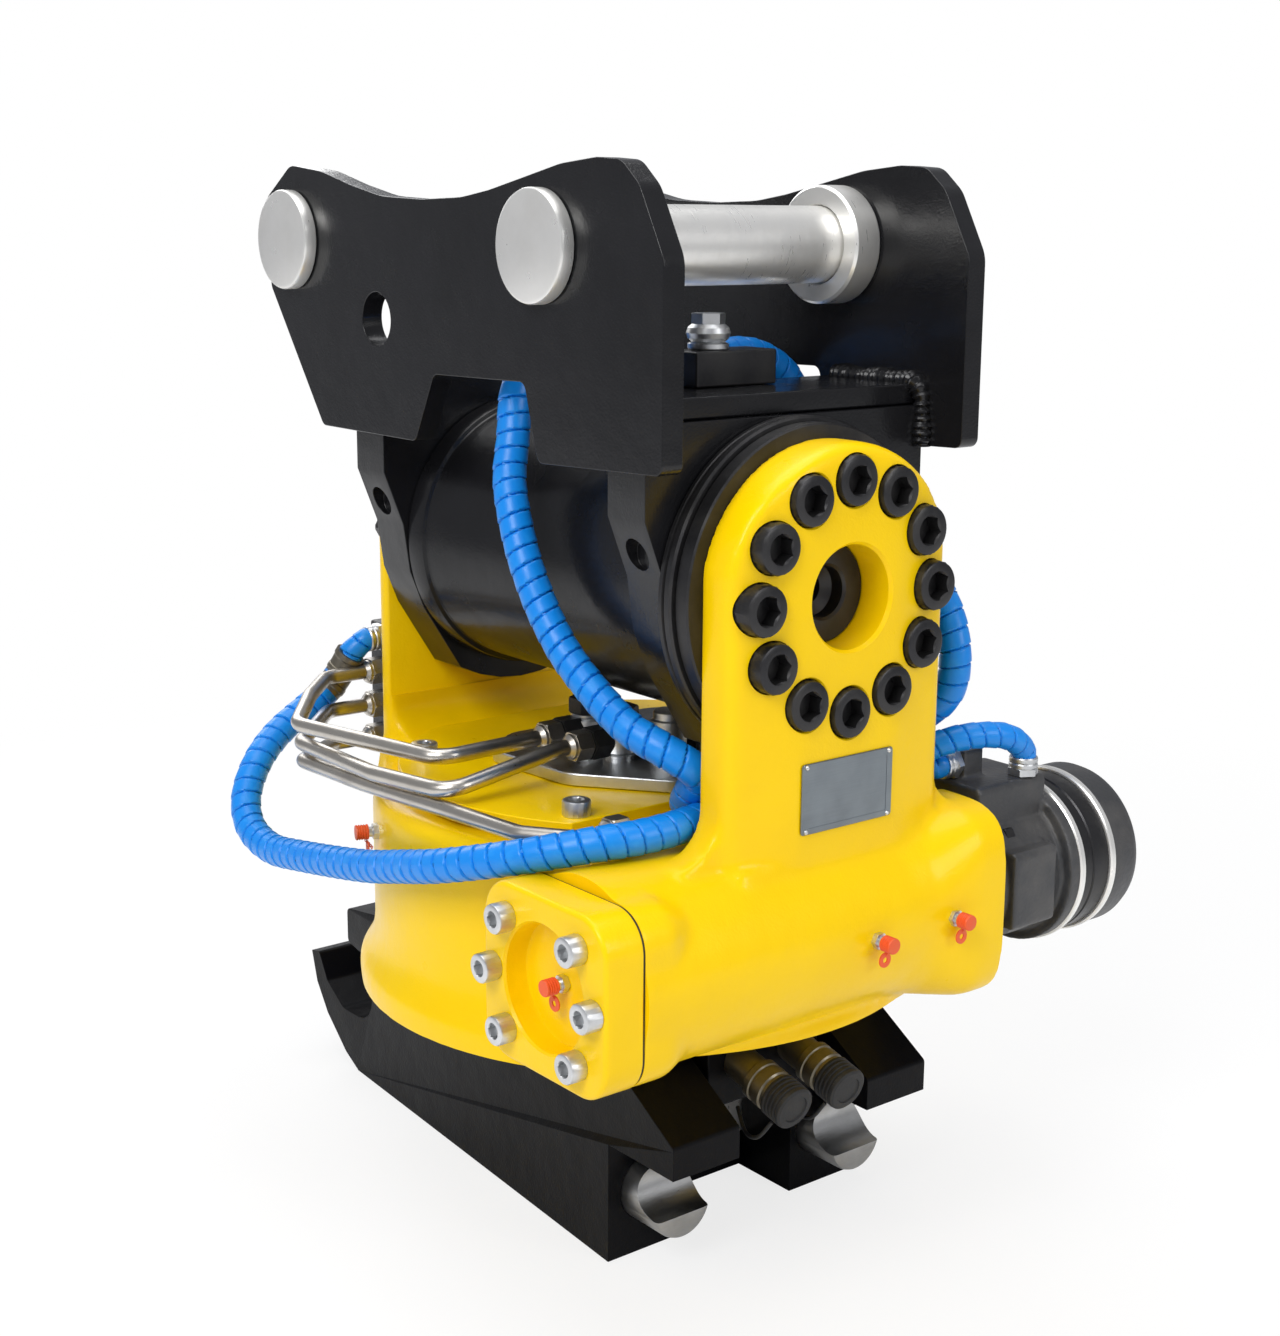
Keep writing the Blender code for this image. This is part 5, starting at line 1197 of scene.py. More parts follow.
@dataclass
class RotorHousing:
    """The yellow casting: round body, worm case, both ears, its cap and its top cover."""

    shop: Shop
    body_radius: float = 0.166
    bottom: float = 0.134
    top: float = 0.258
    rim: float = 0.145
    case_radius: float = 0.057
    seam_y: float = -0.155
    case_end: float = 0.110
    flange_half: float = 0.060
    ear_half: float = 0.082
    front_inner: float = 0.154
    front_face: float = 0.184
    rear_inner: float = -0.163
    rear_face: float = -0.184
    crown: float = 0.008
    ear_edge: float = 0.009
    foot: float = 0.026
    counterbore: float = 0.0148
    cap_outer: float = -0.181
    cap_half: Flat = (0.054, 0.050)
    cap_corner: float = 0.022
    cover_radius: float = 0.150
    cover_thick: float = 0.012
    voxel: float = 0.0026
    rounds: int = 10

    def build(self) -> None:
        """Build the housing, the worm cap, the cover and their bolts."""
        self.casting()
        self.cap()
        self.cover()

    def ear(self, name: str, inner: float, face: float) -> Item:
        """Make one ear.

        Args:
            name: The ear's name.
            inner: Its machined inner face.
            face: The crown of its outer face.

        Returns:
            The ear.
        """
        out = math.copysign(1.0, face)
        flank = face - out * self.crown
        half = self.ear_half
        bowed = prism(name, rounded([
            (inner, -half), (flank, -half, self.ear_edge), (face, -0.036, 0.05),
            (face, 0.036, 0.05), (flank, half, self.ear_edge), (inner, half)]),
            Axis.Z, WORM_Z - 0.015, TILT_Z + 0.1)
        edge = self.ear_edge
        ball = half + 0.002
        profile = [(0.0, inner - out * 0.01), (ball, inner - out * 0.01)]
        for k in range(9):
            u, v = on_circle(edge, 90 * k / 8)
            profile.append((ball - edge + u, face - out * (edge - v)))
        profile.append((0.0, face))
        crown = turned("crown", profile, Axis.X, (0.0, 0.0, TILT_Z), 96)
        stem = block("stem", (min(inner, face) - 0.02, -half - 0.02, 0.05),
                     (max(inner, face) + 0.02, half + 0.02, TILT_Z))
        return combined(bowed, Cut.KEEP, combined(crown, Cut.JOIN, stem))

    def round_square(self, half: float, power: float, count: int = 64) -> list[Flat]:
        """Draw an outline between a circle and a soft square round the worm.

        Args:
            half: Half of its width.
            power: 2 for a circle, and more for a squarer outline.
            count: Number of points.

        Returns:
            Points (x, z).
        """
        points = []
        for k in range(count):
            cosine, sine = on_circle(1.0, 360 * k / count)
            points.append((
                WORM_X + half * math.copysign(abs(cosine) ** (2 / power), cosine),
                WORM_Z + half * math.copysign(abs(sine) ** (2 / power), sine)))
        return points

    def cap_outline(self, inset: float = 0.0) -> list[Flat]:
        """Draw the worm cap's outline.

        Args:
            inset: How far it is moved in.

        Returns:
            Points round the worm's axis.
        """
        x, z = self.cap_half
        return box_outline(x - inset, z - inset, self.cap_corner - inset, 6)

    def case_fillet(self, radius: float) -> list[Flat]:
        """Return the section of the fillet between the front ear's face and the case.

        Args:
            radius: The fillet's radius.

        Returns:
            Points (x, z) of a small closed section.
        """
        line = self.front_face - 0.001
        u = line + radius - WORM_X
        v = math.sqrt((self.case_radius + radius) ** 2 - u * u)
        share = self.case_radius / (self.case_radius + radius)
        start = 180.0
        end = math.degrees(math.atan2(-v, -u)) % 360
        points = [(WORM_X + u + radius * math.cos(math.radians(start + (end - start) * k / 8)),
                   WORM_Z + v + radius * math.sin(math.radians(start + (end - start) * k / 8)))
                  for k in range(9)]
        return points + [(WORM_X + u * share - 0.02, WORM_Z + v * share - 0.02),
                         (line - 0.015, WORM_Z + v)]

    def solids(self) -> list[Item]:
        """Make the overlapping solids that the casting is fused from.

        Returns:
            The solids.
        """
        r = self.body_radius
        edge = 0.010
        flare = [(0.0, self.bottom - 0.004), (r + 0.009, self.bottom - 0.004),
                 (r + 0.010, self.rim - 0.002), (r + 0.010, self.rim + 0.003),
                 (r + 0.004, self.rim + 0.012), (r + 0.001, self.rim + 0.020),
                 (r, self.rim + 0.030)]
        for k in range(6):
            u, v = on_circle(edge, 18 * k)
            flare.append((r - edge + u, self.top - edge + v))
        flare.append((0.0, self.top))
        foot_z = WORM_Z + self.case_radius
        half, foot = self.ear_half, self.foot
        side = half - 0.001
        back = self.rear_face + self.crown
        return [
            turned("body", flare, Axis.Z, sides=128),
            rod("case", self.case_radius, self.seam_y - 0.004, self.case_end - 0.02, Axis.Y,
                (WORM_X, 0.0, WORM_Z), 96),
            loft("boss", [(self.seam_y - 0.004, self.shifted(self.cap_outline())),
                          (self.seam_y + 0.020, self.shifted(self.cap_outline())),
                          (self.seam_y + 0.034, self.shifted(self.cap_outline(0.006)))], Axis.Y),
            loft("flange", [
                (0.036, self.round_square(self.case_radius - 0.001, 2.0)),
                (0.060, self.round_square(self.case_radius, 2.3)),
                (0.078, self.round_square(self.flange_half - 0.001, 3.2)),
                (0.092, self.round_square(self.flange_half, 4.4)),
                (self.case_end + 0.004, self.round_square(self.flange_half, 4.4))], Axis.Y),
            prism("skirt", rounded([
                (-half - foot, foot_z), (-half, foot_z, foot), (-half, foot_z + 0.03),
                (half, foot_z + 0.03), (half, foot_z, foot), (half + foot, foot_z),
                (half + foot, foot_z - 0.03), (-half - foot, foot_z - 0.03)]),
                Axis.X, self.front_inner - 0.001, self.front_face - 0.012),
            prism("fillet", self.case_fillet(0.016), Axis.Y, -half + 0.006, half - 0.006),
            self.ear("front_ear", self.front_inner - 0.003, self.front_face),
            self.ear("rear_ear", self.rear_inner + 0.001, self.rear_face),
            prism("rear_foot", rounded([
                (back, -side, 0.012), (back, side, 0.012), (-0.100, 0.1318), (-0.060, 0.100),
                (-0.060, -0.100), (-0.100, -0.1318)]), Axis.Z, self.rim + 0.016,
                self.top - 0.001),
            prism("rear_fillet", rounded([
                (self.rear_inner - 0.004, WORM_Z), (self.rear_inner - 0.004, self.top + 0.030),
                (self.rear_inner + 0.0008, self.top + 0.030),
                (self.rear_inner + 0.0008, self.top + 0.0045, 0.022),
                (-0.140, self.top + 0.0045), (-0.140, WORM_Z)]),
                Axis.Y, -side + 0.002, side - 0.002),
            block("block_pad", (0.0915, -0.0405, self.top - 0.01), (0.155, 0.0605, foot_z)),
            block("pipe_boss", (0.109, -0.105, self.top - 0.01), (0.127, -0.087, 0.280)),
        ]

    def shifted(self, outline: Sequence[Flat]) -> list[Flat]:
        """Return an outline moved to the worm's axis."""
        return [(u + WORM_X, v + WORM_Z) for u, v in outline]

    def ear_cuts(self, inner: float, face: float, head_top: float) -> list[Item]:
        """Return the cutters of one ear's bore, counterbores and bolt holes.

        Args:
            inner: The ear's inner face.
            face: Its outer face.
            head_top: Where the bolt heads end.

        Returns:
            Closed cutters.
        """
        out = math.copysign(1.0, face)
        floor = head_top - out * 0.0163
        deep, outer = sorted((floor, face + out * 0.02))
        low, high = sorted((inner - out * 0.02, floor + out * 0.001))
        wide = self.counterbore
        lip = face - out * 0.0012
        heads, holes, rims = [], [], []
        for k in range(EAR_BOLTS):
            y, z = on_circle(BOLT_CIRCLE, 90 + 30 * k)
            centre = (0.0, y, TILT_Z + z)
            heads.append(rod("head", wide, deep, outer, Axis.X, centre))
            holes.append(rod("shank", 0.0084, low, high, Axis.X, centre, 32))
            rims.append(turned("rim", [
                (0.0, lip - out * 0.001), (wide - 0.001, lip - out * 0.001),
                (wide + 0.0008, lip + out * 0.0010), (wide + 0.0008, face + out * 0.02),
                (0.0, face + out * 0.02)], Axis.X, centre, 48))
        bore = turned("bore", [
            (0.0, inner - out * 0.02), (0.029, inner - out * 0.02), (0.029, face - out * 0.002),
            (0.0315, face + out * 0.001), (0.0315, face + out * 0.02), (0.0, face + out * 0.02)],
            Axis.X, (0.0, 0.0, TILT_Z), 96)
        return [gathered("heads", heads), gathered("holes", holes), *rims, bore]

    def casting(self) -> None:
        """Fuse the solids, smooth them as a casting, then machine its faces and bores."""
        skin = cast(gathered("rotor_casting", self.solids()), self.voxel, self.rounds)
        wide = 0.4
        foot_z = WORM_Z + self.case_radius
        worm = (WORM_X, 0.0, WORM_Z)
        combined(
            skin, Cut.CUT,
            block("below", (-wide, -wide, 0.0), (wide, wide, self.bottom)),
            prism("relief", [(0.050, 0.1165), (0.149, 0.1448), (0.240, 0.1448), (0.240, 0.100),
                             (0.050, 0.100)], Axis.Y, -0.170, 0.056),
            block("flange_relief", (0.090, 0.050, 0.1), (0.240, 0.150, 0.1448)),
            block("seat", (-0.137, -0.152, self.top), (0.0905, 0.152, 0.6)),
            block("front_face", (0.05, -0.11, foot_z), (self.front_inner, 0.11, 0.6)),
            block("rear_face", (self.rear_inner, -0.11, self.top + 0.031), (0.0, 0.11, 0.6)),
            block("cap_seat", (0.085, -wide, 0.0), (wide, self.seam_y, 0.27)),
            block("motor_seat", (WORM_X - 0.07, self.case_end, 0.12), (wide, wide, 0.29)),
            turned("cavity", [(0.0, 0.1), (0.131, 0.1), (0.131, 0.225), (0.085, 0.225),
                              (0.085, 0.3), (0.0, 0.3)], Axis.Z, sides=96),
            rod("tunnel", 0.034, self.seam_y - 0.01, self.case_end + 0.01, Axis.Y, worm, 72),
            rod("motor_pocket", 0.053, self.case_end, 0.188, Axis.Y, worm, 72),
            *self.ear_cuts(self.front_inner, self.front_face, FRONT_HEAD_TOP),
            *self.ear_cuts(self.rear_inner, self.rear_face, REAR_HEAD_TOP))
        self.shop.hand_over(shaded(skin, 38.0), Body.HOUSING, Surface.YELLOW, "rotor_housing")

    def cap(self) -> None:
        """Build the worm's cap with its round recess and its six zinc bolts."""
        inner = self.seam_y - SEAT
        edge = 0.003
        sections = [(inner - 0.0010, self.shifted(self.cap_outline(0.0006))),
                    (inner - 0.0018, self.shifted(self.cap_outline()))]
        for k in range(6):
            u, v = on_circle(edge, 90 * k / 5)
            sections.append((self.cap_outer + edge - v, self.shifted(self.cap_outline(edge - u))))
        cap = loft("worm_cap_skin", sections, Axis.Y)
        centre = (WORM_X, 0.0, WORM_Z)
        floor = self.cap_outer + 0.015
        recess = turned("recess", [
            (0.0, floor), (0.031, floor), (0.034, floor - 0.0012), (0.035, floor - 0.004),
            (0.035, self.cap_outer + 0.0015), (0.0368, self.cap_outer - 0.001),
            (0.0368, self.cap_outer - 0.02), (0.0, self.cap_outer - 0.02)], Axis.Y, centre, 96)
        combined(cap, Cut.CUT, recess, solver="EXACT")
        self.shop.hand_over(shaded(cap, 30.0), Body.HOUSING, Surface.YELLOW, "worm_cap")
        gasket = prism("cap_gasket", self.shifted(self.cap_outline(0.0008)), Axis.Y,
                       self.seam_y - 0.0012, self.seam_y)
        combined(gasket, Cut.CUT, rod("opening", 0.037, -0.2, 0.0, Axis.Y, centre),
                 solver="EXACT")
        self.shop.hand_over(shaded(gasket, 30.0), Body.HOUSING, Surface.RUBBER)
        places = round_places(Axis.Y, self.cap_outer, (WORM_X, WORM_Z), 0.0445,
                              (0, 45, 135, 180, 225, 315), -1.0)
        bolts = copies("cap_bolts", socket_bolt("bolt", 0.0083, 0.0100, 0.0082, 0.005, 0.004),
                       places)
        self.shop.hand_over(bolts, Body.HOUSING, Surface.ZINC)

    def cover(self) -> None:
        """Build the round cover on the body and its socket bolts."""
        low = self.top + SEAT
        high = low + self.cover_thick
        r = self.cover_radius
        cover = turned("cover_skin", [(0.0, low), (r, low), (r, high), (0.0, high)],
                       Axis.Z, sides=128)
        combined(cover, Cut.CUT,
                 block("front", (0.090, -0.3, 0.2), (0.3, 0.3, 0.3)),
                 block("rear", (-0.3, -0.3, 0.2), (-0.137, 0.3, 0.3)),
                 rod("bore", 0.0383, 0.2, 0.3, Axis.Z, sides=72), solver="EXACT")
        bevelled(cover, 0.0018, 3)
        self.shop.hand_over(cover, Body.HOUSING, Surface.YELLOW, "top_cover")
        places = round_places(Axis.Z, high, (0.0, 0.0), r - 0.016, (54, 126, 234, 306))
        bolts = copies("cover_bolts", socket_bolt("bolt", 0.0083, 0.0092, 0.0082, 0.005, 0.004),
                       places)
        self.shop.hand_over(bolts, Body.HOUSING, Surface.ZINC)


@dataclass
class TiltActuator:
    """Barrel, gland, shaft and rear flange of the tilt actuator."""

    shop: Shop
    barrel: float = 0.083
    bore: float = 0.070
    collar: float = 0.0870
    flange: float = 0.0920
    gland: float = 0.0950
    journal: float = 0.045
    tail: float = 0.0286
    front_plate: float = 0.1320
    rear_plate: float = -0.128
    flange_high: float = 0.1537
    starts: int = 6
    lead: float = 0.330
    head_height: float = 0.016

    @property
    def bolt_angles(self) -> list[float]:
        """Angles of an ear's bolts."""
        return [90 + 360 * k / EAR_BOLTS for k in range(EAR_BOLTS)]

    @property
    def centre(self) -> Point:
        """Point of the tilt axis from which distances count."""
        return (0.0, 0.0, TILT_Z)

    def build(self) -> None:
        """Build every piece of the actuator that shows."""
        self.shell()
        self.shaft()
        self.rear_flange()

    def shell(self) -> None:
        """Build the barrel with its collar, and the gland rings in front of it."""
        rear = -0.1407
        low = self.rear_plate + SEAT
        step = low + 0.016
        front = self.front_plate
        barrel = turned("barrel_skin", [
            (self.barrel - 0.001, rear), (self.barrel, rear + 0.001), (self.barrel, low),
            (self.collar - 0.001, low), (self.collar, low + 0.001), (self.collar, step - 0.004),
            (self.collar - 0.0012, step - 0.001), (self.barrel + 0.0006, step),
            (self.barrel, step + 0.0012), (self.barrel, front - 0.001),
            (self.barrel - 0.001, front), (self.bore, front), (self.bore, rear)],
            Axis.X, self.centre, 128)
        self.shop.hand_over(shaded(barrel), Body.HITCH, Surface.BLACK, "tilt_barrel")
        low = front + SEAT
        high = low + 0.0107
        hole = self.journal + 0.0005
        g = self.gland
        gland = turned("gland_skin", [
            (hole, front - 0.014), (self.bore - SEAT, front - 0.014), (self.bore - SEAT, low),
            (g - 0.001, low), (g, low + 0.001), (g, low + 0.0035), (g - 0.0016, low + 0.0042),
            (g - 0.0016, low + 0.0052), (g, low + 0.0059), (g, high - 0.0012),
            (g - 0.0012, high), (hole, high)], Axis.X, self.centre, 128)
        self.shop.hand_over(shaded(gland), Body.HITCH, Surface.OXIDE, "tilt_gland")

    def helix(self) -> Item:
        """Twist the shaft's six-start helix in fine layers.

        Returns:
            The helix.
        """
        tip, root = 0.0380, 0.0340
        pitch = 360.0 / self.starts
        sections = []
        start, end = -0.104, 0.043
        layers = 42
        for layer in range(layers + 1):
            along = start + (end - start) * layer / layers
            turn = 360.0 * along / self.lead
            ring = []
            for k in range(self.starts):
                for radius, offset in ((root, -0.30), (tip, -0.18), (tip, 0.18), (root, 0.30)):
                    y, z = on_circle(radius, turn + pitch * (k + offset))
                    ring.append((y, TILT_Z + z))
            sections.append((along, ring))
        return loft("helix", sections, Axis.X)

    def ear_bolts(self, name: str, root: float, head_top: float) -> Item:
        """Return the twelve black socket bolts of one ear.

        Args:
            name: Name of the group.
            root: Where the shanks end inside the flange.
            head_top: Where the heads end.

        Returns:
            The bolts in one object.
        """
        out = math.copysign(1.0, head_top)
        under = head_top - out * self.head_height
        places = [place @ Matrix.Rotation(math.radians(17 * k), 4, "Z") for k, place in enumerate(
            round_places(Axis.X, under, (0.0, TILT_Z), BOLT_CIRCLE, self.bolt_angles, out))]
        pattern = socket_bolt("bolt", 0.0142, self.head_height, 0.0150, 0.008, abs(under - root))
        return copies(name, pattern, places)

    def shaft(self) -> None:
        """Build the shaft with its flange, nose, oil port and the front ear's bolts."""
        low = self.flange_high - 0.0104
        f = self.flange
        shaft = turned("shaft_skin", [
            (0.0, -0.172), (self.tail - 0.001, -0.172), (self.tail, -0.171),
            (self.tail, -0.102), (0.031, -0.102), (0.031, 0.042), (self.journal, 0.042),
            (self.journal, low), (f - 0.001, low), (f, low + 0.001), (f, self.flange_high - 0.001),
            (f - 0.001, self.flange_high), (self.tail, self.flange_high), (self.tail, 0.161),
            (self.tail - 0.001, 0.162), (0.016, 0.162), (0.0145, 0.1605), (0.0145, 0.152),
            (0.009, 0.148), (0.009, 0.137), (0.0, 0.137)], Axis.X, self.centre, 96)
        combined(shaft, Cut.JOIN, self.helix())
        bolts = self.ear_bolts("front_bolts", self.flange_high - 0.004, FRONT_HEAD_TOP)
        whole = shaded(gathered("tilt_shaft_skin", [shaft, bolts]))
        self.shop.hand_over(whole, Body.HOUSING, Surface.OXIDE, "tilt_shaft")

    def rear_flange(self) -> None:
        """Build the rear flange and its hexagon bolts."""
        outer = -0.1627
        inner = outer + 0.0217
        flange = turned("flange", [
            (0.079, outer), (0.080, outer + 0.001), (0.080, inner - 0.001), (0.079, inner),
            (self.bore - 0.0005, inner), (self.bore - 0.0005, inner + 0.020),
            (self.tail + SEAT, inner + 0.020), (self.tail + SEAT, outer)],
            Axis.X, self.centre, 96)
        under = REAR_HEAD_TOP + self.head_height
        places = round_places(Axis.X, under, (0.0, TILT_Z), BOLT_CIRCLE, self.bolt_angles, -1.0)
        head = gathered("head", [hex_nut("hex", 0.0205, 0.0158),
                                 rod("shank", 0.008, -abs(under - outer) - 0.004, 0.001, Axis.Z)])
        bolts = copies("rear_bolts", head, places)
        whole = shaded(gathered("end_flange_skin", [flange, bolts]))
        self.shop.hand_over(whole, Body.HOUSING, Surface.OXIDE, "tilt_end_flange")


@dataclass
class Hitch:
    """Plates, pins, collars, welds and the port block of the black hitch."""

    shop: Shop
    outer: float = 0.1175
    thick: float = 0.014
    pin_radius: float = 0.0225
    pin_z: float = 0.583
    front_x: float = 0.0599
    rear_x: float = -0.2081
    head_radius: float = 0.0307
    head_proud: float = 0.009
    far_proud: float = 0.006
    collar_outer: float = 0.0346
    collar_width: float = 0.020
    top: float = 0.505
    side_hole: Flat = (-0.1098, 0.5375)
    side_hole_radius: float = 0.016
    plate_corners: tuple[tuple[float, float, float], ...] = (
        (0.1633, 0.470, 0.006), (0.1633, 0.5784, 0.020), (0.1439, 0.614, 0.020),
        (0.1284, 0.6269, 0.014), (0.1077, 0.6284, 0.030), (0.0768, 0.6257, 0.06),
        (0.0406, 0.6185, 0.08), (0.010, 0.6125, 0.08), (-0.0175, 0.6087, 0.08),
        (-0.0589, 0.6077, 0.10), (-0.1026, 0.6096, 0.10), (-0.138, 0.6165, 0.10),
        (-0.1724, 0.6248, 0.05), (-0.2097, 0.6289, 0.014), (-0.2439, 0.6075, 0.012),
        (-0.2388, 0.5528, 0.008), (-0.1767, 0.4683, 0.006), (-0.0686, 0.4677, 0.006),
        (-0.0476, 0.5082, 0.006), (0.0431, 0.5098, 0.006), (0.0556, 0.4665, 0.006))

    def build(self) -> None:
        """Build the hitch's pieces."""
        self.side_plates()
        for name in ("end_plate_front", "end_plate_rear", "cross_plate"):
            self.shop.refine(name, Body.HITCH, Surface.BLACK, 0.0014)
        self.pins()
        self.collars()
        self.welds()
        self.port_block()

    def side_plates(self) -> None:
        """Cut both side plates from thick plate, with rounded flame-cut edges."""
        outline = rounded(self.plate_corners, 6)
        for name, side in (("near", -1.0), ("far", 1.0)):
            low, high = sorted((side * self.outer, side * (self.outer - self.thick)))
            plate = prism("side_plate_" + name + "_skin", outline, Axis.Y, low, high)
            hole = self.pin_radius + SEAT
            holes = [rod("hole", radius, -0.2, 0.2, Axis.Y, (x, 0.0, z), 64) for radius, x, z in (
                (hole, self.front_x, self.pin_z), (hole, self.rear_x, self.pin_z),
                (self.side_hole_radius, *self.side_hole))]
            combined(plate, Cut.CUT, *holes, solver="EXACT")
            self.shop.hand_over(bevelled(plate, 0.0017, 3, 40.0), Body.HITCH, Surface.BLACK,
                                "side_plate_" + name)

    def pins(self) -> None:
        """Turn both pins, with their heads on the near side."""
        face = self.outer + SEAT
        r, head = self.pin_radius, self.head_radius
        start = -face - self.head_proud
        end = face + self.far_proud
        for name, x in (("hitch_pin_front", self.front_x), ("hitch_pin_rear", self.rear_x)):
            pin = turned(name + "_skin", [
                (0.0, start), (head - 0.0022, start), (head - 0.0006, start + 0.0006),
                (head, start + 0.0018), (head, -face - 0.0008), (head - 0.0008, -face),
                (r, -face), (r, end - 0.002), (r - 0.002, end), (0.0, end)],
                Axis.Y, (x, 0.0, self.pin_z), 96)
            self.shop.hand_over(shaded(pin), Body.HITCH, Surface.STEEL, name)

    def collars(self) -> None:
        """Turn the four collars beside the plates."""
        inner = self.outer - self.thick - SEAT
        for place, x in (("front", self.front_x), ("rear", self.rear_x)):
            for side_name, side in (("near", -1.0), ("far", 1.0)):
                face = side * inner
                end = side * (inner - self.collar_width)
                c = self.collar_outer
                step = side * 0.0015
                hole = self.pin_radius + SEAT
                name = "collar_" + place + "_" + side_name
                ring = turned(name + "_skin", [
                    (hole, face), (c - 0.001, face), (c, face - step), (c, end + step),
                    (c - 0.0015, end), (hole + 0.001, end), (hole, end + step)],
                    Axis.Y, (x, 0.0, self.pin_z), 96)
                self.shop.hand_over(shaded(ring), Body.HITCH, Surface.STEEL, name)

    def welds(self) -> None:
        """Lay rippled weld beads where the plates meet."""
        inside = self.outer - self.thick
        beads = []
        for side, radius in ((-1.0, 0.0026), (1.0, 0.0055)):
            y = side * (inside - 0.0015)
            front = smooth_route([
                (0.060, y, self.top + 0.0010), (0.100, y, self.top + 0.0010),
                (0.124, y, self.top + 0.0012), (0.1315, y, self.top - 0.006),
                (0.1330, y, self.top - 0.018), (0.1330, y, self.top - 0.036)], 0.0009)
            rear = [Vector((-0.129 - 0.03 * k / 40, y, self.top + 0.0005)) for k in range(41)]
            for route, size in ((front, radius), (rear, 0.0026)):
                beads.append(swept("bead", route, lambda gone, turn, size=size: size * (
                    1.0 + 0.14 * math.sin(gone * 1500.0) + 0.16 * math.sin(gone * 210.0)), 16))
        self.shop.hand_over(shaded(gathered("hitch_welds", beads), 40.0), Body.HITCH,
                            Surface.BLACK)

    def port_block(self) -> None:
        """Build the port block on the cross plate, with its steel banjo fitting."""
        low = self.top + SEAT
        body = bevelled(block("hitch_block_skin", (0.058, -0.030, low),
                              (0.086, 0.030, low + 0.020)), 0.0012)
        self.shop.hand_over(body, Body.HITCH, Surface.OXIDE, "hitch_port_block")
        ball = turned("banjo", [
            (0.0, 0.0), (0.011, 0.0), (0.0118, 0.001), (0.0118, 0.0035), (0.0095, 0.0045),
            (0.0118, 0.0065), (0.0128, 0.0095), (0.0118, 0.0125), (0.0095, 0.0145),
            (0.0, 0.0145)], Axis.Z, sides=48)
        nut = hex_nut("nut", 0.017, 0.006)
        nut.data.transform(Matrix.Translation((0.0, 0.0, 0.0145)))
        fitting = shaded(gathered("hitch_banjo", [ball, nut]), 24.0)
        fitting.data.transform(Matrix.Translation((0.072, -0.010, low + 0.020)))
        self.shop.hand_over(fitting, Body.HITCH, Surface.ZINC)


@dataclass
class Swivel:
    """Torque plate, swivel head and the fittings that the pipes end in."""

    shop: Shop
    cover_top: float = 0.2706
    plate_thick: float = 0.008
    pin_radius: float = 0.038
    port_x: Flat = (-0.008, 0.0215)
    port_z: float = 0.2915
    banjo_y: float = -0.034

    def build(self) -> None:
        """Build the plate and the head."""
        base = self.cover_top
        low = base + self.plate_thick
        plate = bevelled(prism("torque_plate_skin", rounded([
            (-0.070, -0.050, 0.02), (-0.045, -0.083, 0.02), (0.028, -0.079, 0.025),
            (0.082, -0.037, 0.015), (0.082, 0.035, 0.015), (0.028, 0.075, 0.025),
            (-0.045, 0.075, 0.02), (-0.070, 0.050, 0.02)], 6), Axis.Z, base, low), 0.0012)
        self.shop.hand_over(plate, Body.HOUSING, Surface.ZINC, "torque_plate")
        pin = turned("swivel_core", [
            (0.0, 0.132), (0.0365, 0.132), (self.pin_radius, 0.1335), (self.pin_radius, base),
            (0.0, base)], Axis.Z, sides=72)
        self.shop.hand_over(shaded(pin), Body.HOUSING, Surface.STEEL, "swivel_pin")
        drum = turned("swivel_drum", [
            (0.0, low), (0.031, low), (0.031, low + 0.008), (0.030, low + 0.009),
            (0.0262, low + 0.009), (0.0262, low + 0.0155), (0.0250, low + 0.0168),
            (0.0, low + 0.0168)], Axis.Z, (0.010, 0.012, 0.0), 72)
        self.shop.hand_over(shaded(drum), Body.HOUSING, Surface.OXIDE)
        posts = copies("swivel_posts", turned("post", [
            (0.0, low), (0.011, low), (0.011, low + 0.026), (0.0095, low + 0.027),
            (0.0095, low + 0.031), (0.0085, low + 0.032), (0.0, low + 0.032)], Axis.Z, sides=48),
            [Matrix.Translation(place) for place in ((0.045, -0.014, 0.0), (0.040, 0.022, 0.0))])
        self.shop.hand_over(posts, Body.HOUSING, Surface.ZINC)
        self.banjos(low)

    def banjos(self, low: float) -> None:
        """Build the two banjo fittings that the pipes end in, and their black bolts.

        Args:
            low: Top of the torque plate.
        """
        middle = self.port_z
        rings, bolts = [], []
        for x in self.port_x:
            rings.append(turned("ring", [
                (0.0, low), (0.0095, low), (0.0095, low + 0.003), (0.0115, low + 0.0035),
                (0.0115, middle - 0.0090), (0.0100, middle - 0.0082), (0.0125, middle - 0.0070),
                (0.0135, middle), (0.0125, middle + 0.0070), (0.0100, middle + 0.0082),
                (0.0115, middle + 0.0090), (0.0115, middle + 0.0105), (0.0, middle + 0.0105)],
                Axis.Z, (x, self.banjo_y, 0.0), 48))
            head = hex_nut("head", 0.0215, 0.0095)
            head.data.transform(Matrix.Translation((x, self.banjo_y, middle + 0.0105)))
            neck = hex_nut("neck", 0.0180, 0.0135)
            neck.data.transform(facing((x, self.banjo_y - 0.0235, middle), (0.0, 1.0, 0.0)))
            bolts += [head, neck]
        self.shop.hand_over(shaded(gathered("swivel_banjos", rings)), Body.HOUSING,
                            Surface.ZINC)
        self.shop.hand_over(shaded(gathered("swivel_bolts", bolts), 20.0), Body.HOUSING,
                            Surface.OXIDE)


